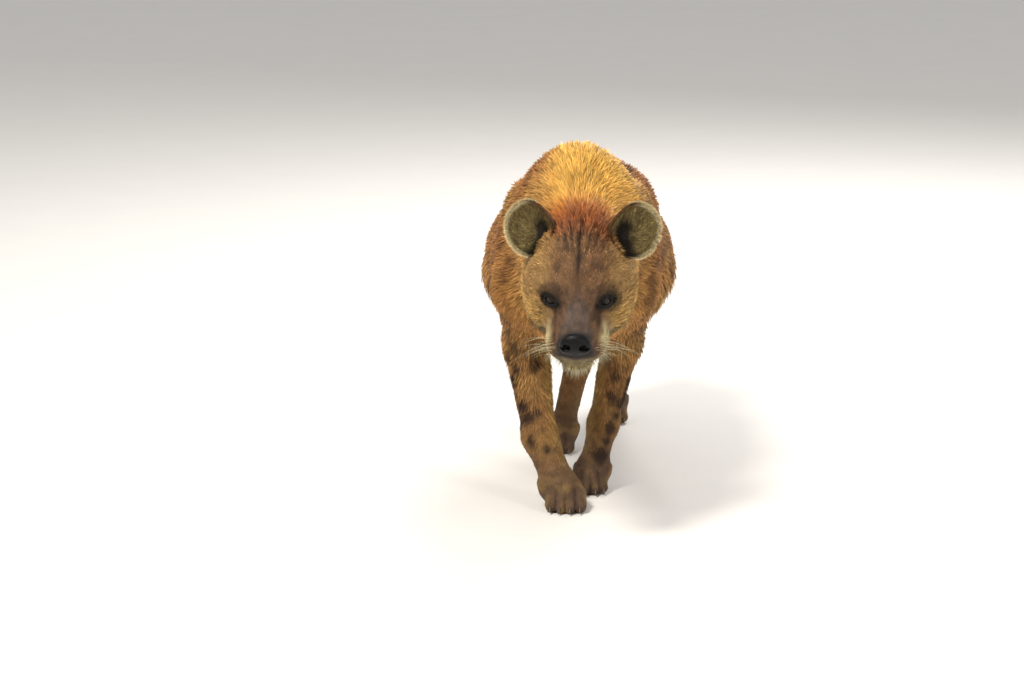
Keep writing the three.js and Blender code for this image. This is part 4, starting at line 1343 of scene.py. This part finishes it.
class HYENA_OT_head_coat(bpy.types.Operator):
    """Grow the short coat of the face and the crest between the ears"""

    bl_idname = "hyena.head_coat"
    bl_label = "Head coat"

    def execute(self, context):
        coat = context.scene.hyena_coat
        arrays = skin_arrays()
        hair = hair_material("face hair")

        def front(p):
            return head_share(p) * off_face_holes(p) * (head_place(p)[:, 1] > CROWN_FRONT)

        def rear(p):
            return head_share(p) * off_face_holes(p) * (head_place(p)[:, 1] <= CROWN_FRONT)

        grow("coat_face", arrays, front, coat.tufts, coat.seed + 30, hair, coat.long, 0.36)
        count = int(coat.tufts * TUFT_SHARES["crown"])
        grow("coat_crown", arrays, rear, count, coat.seed + 31, hair, coat.long, 0.36)
        return {"FINISHED"}


class HYENA_OT_tail_coat(bpy.types.Operator):
    """Grow the tail's coat and its black tuft"""

    bl_idname = "hyena.tail_coat"
    bl_label = "Tail coat"

    def execute(self, context):
        coat = context.scene.hyena_coat
        hair = hair_material("tail hair")
        count = int(coat.tufts * TUFT_SHARES["tail"])
        grow("coat_tail", skin_arrays(), tail_share, count, coat.seed + 40, hair, coat.long)
        return {"FINISHED"}


class HYENA_OT_ears(bpy.types.Operator):
    """Build the ears: a thin bowl, short hair behind and long pale hair inside"""

    bl_idname = "hyena.ears"
    bl_label = "Ears"

    def execute(self, context):
        coat = context.scene.hyena_coat
        material = skin_material()
        material.name = "ear skin"
        hair = hair_material("ear hair", sheen=0.05)
        for side, word in ((RIGHT, "right"), (LEFT, "left")):
            rows, columns = 22, 84
            phi = np.arange(columns) / columns * 2 * math.pi
            t_out = np.linspace(0.02, math.pi / 2, rows)
            t, a = np.meshgrid(np.concatenate([t_out, t_out[::-1]]), phi, indexing="ij")
            shell = np.concatenate([
                ear_point(side, a[:rows].ravel(), t[:rows].ravel(), False),
                ear_point(side, a[rows:].ravel(), t[rows:].ravel(), True),
            ])
            faces = grid_faces(2 * rows, columns)
            if side == LEFT:
                faces = faces[:, ::-1]
            colours = np.concatenate([ear_colour(a[:rows].ravel(), t[:rows].ravel(), False),
                                      ear_colour(a[rows:].ravel(), t[rows:].ravel(), True)])
            # painted shade: the ear's skin is darkened as if shaded by its hair
            ear = make_mesh(f"ear_{word}_skin", shell, [faces], colours * EAR_SKIN_PAINTED_SHADE)
            ear.data.materials.append(material)
            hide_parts(f"ear_{word}")
            rng = np.random.default_rng(coat.seed + 50 + side)
            for layer, count in EAR_TUFTS.items():
                self.hair(side, word, layer, count, rng, hair)
        return {"FINISHED"}

    def hair(self, side, word, layer, count, rng, material):
        """Short hair behind the ear, longer hair inside it, or the pale fringe of its rim."""
        inner = layer == "inner"
        a = rng.uniform(0, 2 * math.pi, count)
        if layer == "rim":
            a = rng.uniform(-0.4, 2.9, count)
            t = rng.uniform(1.5, 1.57, count)
        else:
            t = np.arccos(1 - rng.uniform(0.01, 0.99, count))
        root = ear_point(side, a, t, inner)
        way = unit(ear_point(side, a, t + 0.02, inner) - root)
        out = unit(np.cross(way, ear_point(side, a + 0.02, t, inner) - root))
        middle = ear_point(side, np.zeros(1), np.full(1, 1e-3), False)[0]
        front = HEAD_TURN @ np.array([0, -1.0, 0.3])
        away = np.tile(front, (count, 1)) if inner else root - middle - front * 20
        out *= np.sign((out * away).sum(1))[:, None]
        vary = rng.uniform(0.65, 1.25, count)
        if layer == "rim":
            hub = ear_point(side, np.zeros(1), np.full(1, 1e-3), True)[0]
            way = unit(unit(root - hub) + 0.35 * front + rng.normal(0, 0.12, (count, 3)))
            length, lift, width = 8.5 * vary, np.full(count, 0.1), np.full(count, 0.6)
            colour = mix(CREAM, OLIVE, 0.5 * rng.random(count))
        elif inner:
            length = (12 - 3 * ramp(t, 1.0, 1.5)) * vary
            lift, width = 0.3 + 0.35 * rng.random(count), np.full(count, 0.8)
            way = unit(way + np.array([0, 0, 0.5]) + rng.normal(0, 0.25, (count, 3)))
            # the inner hair takes the ear's colours, the painted shade of its hollow included
            colour = ear_colour(a, t, True) * rng.lognormal(0, 0.45, (count, 1))
        else:
            length, lift, width = 8 * vary, 0.2 + 0.2 * rng.random(count), np.full(count, 1.1)
            colour = ear_colour(a, t, False)
        sizes = (length, width, lift, lift * 0.4)
        seed = int(rng.integers(1e6))
        # base sets how dark the painted shade makes the roots of the ear's hair
        piece = tufts(f"ear_{word}_{layer}_hair", root, out, way, sizes, colour, seed, material, base=0.7)


class HYENA_OT_nose(bpy.types.Operator):
    """Build the bare nose with its nostrils"""

    bl_idname = "hyena.nose"
    bl_label = "Nose"

    def execute(self, context):
        centre = on_head(0, 136, -22)
        verts, quads = net(nostril_field, centre - 42, centre + 42, context.scene.hyena_skin.nose_cell)
        verts, _ = settle(nostril_field, verts, steps=2)
        nose = make_mesh("nose_leather", verts, [quads])
        nose.data.materials.append(leather_material("nose leather", srgb(19, 17, 17), 0.42, 520.0, 0.8, 0.16))
        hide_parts("nose")
        return {"FINISHED"}


class HYENA_OT_eyes(bpy.types.Operator):
    """Build the eyes and their dark lids"""

    bl_idname = "hyena.eyes"
    bl_label = "Eyes"

    def execute(self, context):
        wet = eye_material()
        leather = leather_material("lid leather", srgb(15, 12, 11), 0.6, 1500.0, 0.3, 0.2)
        for side, word in ((RIGHT, "right"), (LEFT, "left")):
            sight, across, up = gaze_axes(side)
            centre = EYES[side]
            rows, columns = 40, 56
            from_sight = np.linspace(0.001, math.pi - 0.001, rows)
            a, b = np.meshgrid(from_sight, np.arange(columns) / columns * 2 * math.pi, indexing="ij")
            cornea = EYE_RADIUS + CORNEA_BULGE * (1 - ramp(a, 0.2, 0.75))
            ball = centre + cornea[..., None] * (
                np.cos(a)[..., None] * sight
                + (np.sin(a) * np.cos(b))[..., None] * across + (np.sin(a) * np.sin(b))[..., None] * up)
            faces = grid_faces(rows, columns)
            if side == LEFT:
                faces = faces[:, ::-1]
            eye = make_mesh(f"eyeball_{word}", ball.reshape(-1, 3), [faces], along=(a / 1.35).ravel())
            eye.data.materials.append(wet)
            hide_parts(f"eye_{word}")
            self.lids(word, centre, sight, across, up, leather)
        return {"FINISHED"}

    def lids(self, word, centre, sight, across, up, material):
        """A dark skin that runs from an almond opening out over the socket's edge."""
        rows, columns = 14, 72
        phi = np.arange(columns) / columns * 2 * math.pi
        x = 12.3 * np.cos(phi)
        y = np.sin(phi) * np.abs(np.sin(phi)) ** 0.35 * np.where(np.sin(phi) > 0, 8.8, 8.4)

        def cover(p):
            ball = np.linalg.norm(p - centre, axis=1) - (EYE_RADIUS + LID_ABOVE_EYE)
            return smooth_min(ball, flesh(p) + coat_depth(p), 3)

        start = centre + sight * 34
        ring = []
        for row in range(rows):
            s = row / (rows - 1)
            reach = 17.5 + 2.5 * np.abs(np.cos(phi))
            px = x * (1 - s) + reach * np.cos(phi) * s
            py = y * (1 - s) + reach * 0.92 * np.sin(phi) * s
            begin = start + across * px[:, None] + up * py[:, None]
            top = fall_onto(cover, begin, np.tile(-sight, (columns, 1)), 60)
            if row == 0:
                depth = np.sqrt(np.maximum((EYE_RADIUS + 0.2) ** 2 - px**2 - py**2, 0))
                ring.append(centre + across * px[:, None] + up * py[:, None] + sight * depth[:, None])
                ring.append(ring[0] * 0.3 + (top - sight * 0.2) * 0.7)
            ring.append(top + sight * (0.4 - 1.6 * ramp(np.array(s), 0.4, 1.0)))
        faces = grid_faces(len(ring), columns)
        lid = make_mesh(f"lids_{word}", np.concatenate(ring), [faces])
        lid.data.materials.append(material)


class HYENA_OT_claws(bpy.types.Operator):
    """Build the claws"""

    bl_idname = "hyena.claws"
    bl_label = "Claws"

    def execute(self, context):
        horn = horn_material("claw horn", srgb(70, 58, 50))
        tubes = []
        for leg, _ in LEGS:
            for x in TOES:
                reach = toe_reach(x)
                t = np.linspace(0, 1, 7)
                path = [paw_place(leg, x * (1 + 0.04 * s), reach + 8 + 19 * s, 17 - 5 * s - 8.5 * s * s)
                        for s in t]
                tubes.append(tube(path, 4.3 * (1 - t) ** 0.7 + 0.15, 9))
        verts, faces = join_tubes(tubes)
        claws = make_mesh("claws", verts, [faces])
        claws.data.materials.append(horn)
        return {"FINISHED"}


class HYENA_OT_whiskers(bpy.types.Operator):
    """Build the whiskers of the muzzle and the bristles of the chin"""

    bl_idname = "hyena.whiskers"
    bl_label = "Whiskers"

    def execute(self, context):
        rng = np.random.default_rng(context.scene.hyena_coat.seed + 80)
        begin, way, out, length, sag = [], [], [], [], []
        for side in SIDES:
            for i in range(WHISKERS_EACH_SIDE):
                row, place = i % 4, i // 4
                ahead, above = 88 + place * 8 + rng.uniform(-3, 3), -32 - row * 8 + rng.uniform(-3, 3)
                begin.append(on_head(side * 90, ahead, above))
                way.append((-side, 0, 0))
                out.append((side, rng.uniform(-0.1, 0.5), rng.uniform(-0.35, 0.25)))
                length.append(rng.uniform(45, 85) * (1 - 0.1 * place))
                sag.append(0.3)
        for _ in range(CHIN_BRISTLES):
            a = rng.uniform(-1, 1)
            begin.append(on_head(a * 48, 128 - 50 * abs(a) - rng.uniform(0, 26), -140))
            way.append((0, 0, 1))
            out.append((a + rng.normal(0, 0.15), -0.4 + rng.normal(0, 0.2), -0.75))
            length.append(rng.uniform(12, 27))
            sag.append(0.15)
        roots = fall_onto(skin_field, np.array(begin), np.array(way, float) @ HEAD_TURN.T, 120)
        out = np.array(out) @ HEAD_TURN.T
        t = np.linspace(0, 1, 6)
        tubes = []
        for root, along, reach, hang in zip(roots, out, length, sag):
            path = root - along + along * reach * t[:, None]
            path[:, 2] -= reach * hang * t**2
            tubes.append(tube(path, 0.27 * (1 - t) + 0.05, 3))
        verts, faces = join_tubes(tubes)
        whiskers = make_mesh("whiskers", verts, [faces])
        whiskers.data.materials.append(horn_material("whisker hair", srgb(206, 198, 160), 0.35))
        return {"FINISHED"}


class HYENA_OT_stage(bpy.types.Operator):
    """Lay the floor and set the camera and lights"""

    bl_idname = "hyena.stage"
    bl_label = "Stage"

    def execute(self, context):
        scene = context.scene
        stage = scene.hyena_stage
        mesh = bpy.data.meshes.new("floor")
        n = FLOOR_POINTS
        xs, ys = (np.linspace(low, high, n) for low, high in zip(FLOOR_LOW, FLOOR_HIGH))
        grid = np.stack(np.meshgrid(xs, ys), -1).reshape(-1, 2)
        mesh.from_pydata([(x, y, 0) for x, y in grid.tolist()], [], grid_faces(n, n, close=False).tolist())
        floor = bpy.data.objects.new("floor", mesh)
        scene.collection.objects.link(floor)
        mesh.materials.append(floor_material())
        floor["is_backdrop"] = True
        for name, place, aim, size, power, warm in (
            ("key", (-1.8, -2.6, 4.6), (0, 0, 0.5), 1.3, stage.key, (1.0, 0.96, 0.9)),
            ("fill", (3.4, -4.0, 2.2), (0, 0, 0.5), 1.2, stage.fill, (0.93, 0.96, 1.0)),
            ("rim", (1.2, 3.4, 3.4), (0, 0, 0.6), 2.4, stage.rim, (1.0, 0.98, 0.95)),
        ):
            light = bpy.data.lights.new(name, "AREA")
            light.shape = "DISK"
            light.size = size
            light.energy = power
            light.color = warm
            lamp = bpy.data.objects.new(name, light)
            lamp.location = place
            lamp.rotation_euler = (Vector(aim) - Vector(place)).to_track_quat("-Z", "Y").to_euler()
            scene.collection.objects.link(lamp)
        world = bpy.data.worlds.new("pale room")
        world.use_nodes = True
        world.node_tree.nodes["Background"].inputs["Color"].default_value = (0.86, 0.87, 0.88, 1)
        world.node_tree.nodes["Background"].inputs["Strength"].default_value = 0.6
        scene.world = world
        camera = bpy.data.objects.new("camera", bpy.data.cameras.new("camera"))
        camera.data.lens = stage.lens
        camera.data.sensor_width = 36.0
        camera.data.clip_end = 200
        reach = stage.distance
        aim = Vector(SHIFT * MM) + Vector((0, 0, stage.aim))
        camera.location = aim + Vector((0, -reach * math.cos(stage.pitch), reach * math.sin(stage.pitch)))
        camera.rotation_euler = (math.pi / 2 - stage.pitch, 0, stage.swing)
        scene.collection.objects.link(camera)
        scene.camera = camera
        scene.view_settings.view_transform = "Standard"
        return {"FINISHED"}


class HYENA_PT_panel(bpy.types.Panel):
    """The hyena's settings and buttons"""

    bl_label = "Hyena"
    bl_space_type = "VIEW_3D"
    bl_region_type = "UI"
    bl_category = "Hyena"

    def draw(self, context):
        scene = context.scene
        for settings, names in (
            (scene.hyena_skin, ("cell", "nose_cell")),
            (scene.hyena_coat, ("tufts", "long", "seed")),
            (scene.hyena_stage, ("lens", "distance", "pitch", "swing", "aim", "key", "fill", "rim")),
        ):
            for name in names:
                self.layout.prop(settings, name)
        for step in STEPS:
            self.layout.operator(step.bl_idname)


STEPS = (HYENA_OT_skin, HYENA_OT_body_coat, HYENA_OT_leg_coat, HYENA_OT_head_coat, HYENA_OT_tail_coat,
         HYENA_OT_ears, HYENA_OT_nose, HYENA_OT_eyes, HYENA_OT_claws, HYENA_OT_whiskers, HYENA_OT_stage)
CLASSES = (HyenaSkinSettings, HyenaCoatSettings, HyenaStageSettings, *STEPS, HYENA_PT_panel)


def register():
    for cls in CLASSES:
        bpy.utils.register_class(cls)
    bpy.types.Scene.hyena_skin = bpy.props.PointerProperty(type=HyenaSkinSettings)
    bpy.types.Scene.hyena_coat = bpy.props.PointerProperty(type=HyenaCoatSettings)
    bpy.types.Scene.hyena_stage = bpy.props.PointerProperty(type=HyenaStageSettings)


def unregister():
    del bpy.types.Scene.hyena_stage, bpy.types.Scene.hyena_coat, bpy.types.Scene.hyena_skin
    for cls in reversed(CLASSES):
        bpy.utils.unregister_class(cls)


def main():
    """Builds every piece in order and measures the CAD's box and the finished box."""
    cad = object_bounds()
    register()
    for step in STEPS:
        area, name = step.bl_idname.split(".")
        getattr(getattr(bpy.ops, area), name)()
    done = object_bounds()
    boxes = {"cad": cad, "visual": done}
    {key: [list(map(float, corner)) for corner in box] for key, box in boxes.items()}


if __name__ == "__main__":
    main()
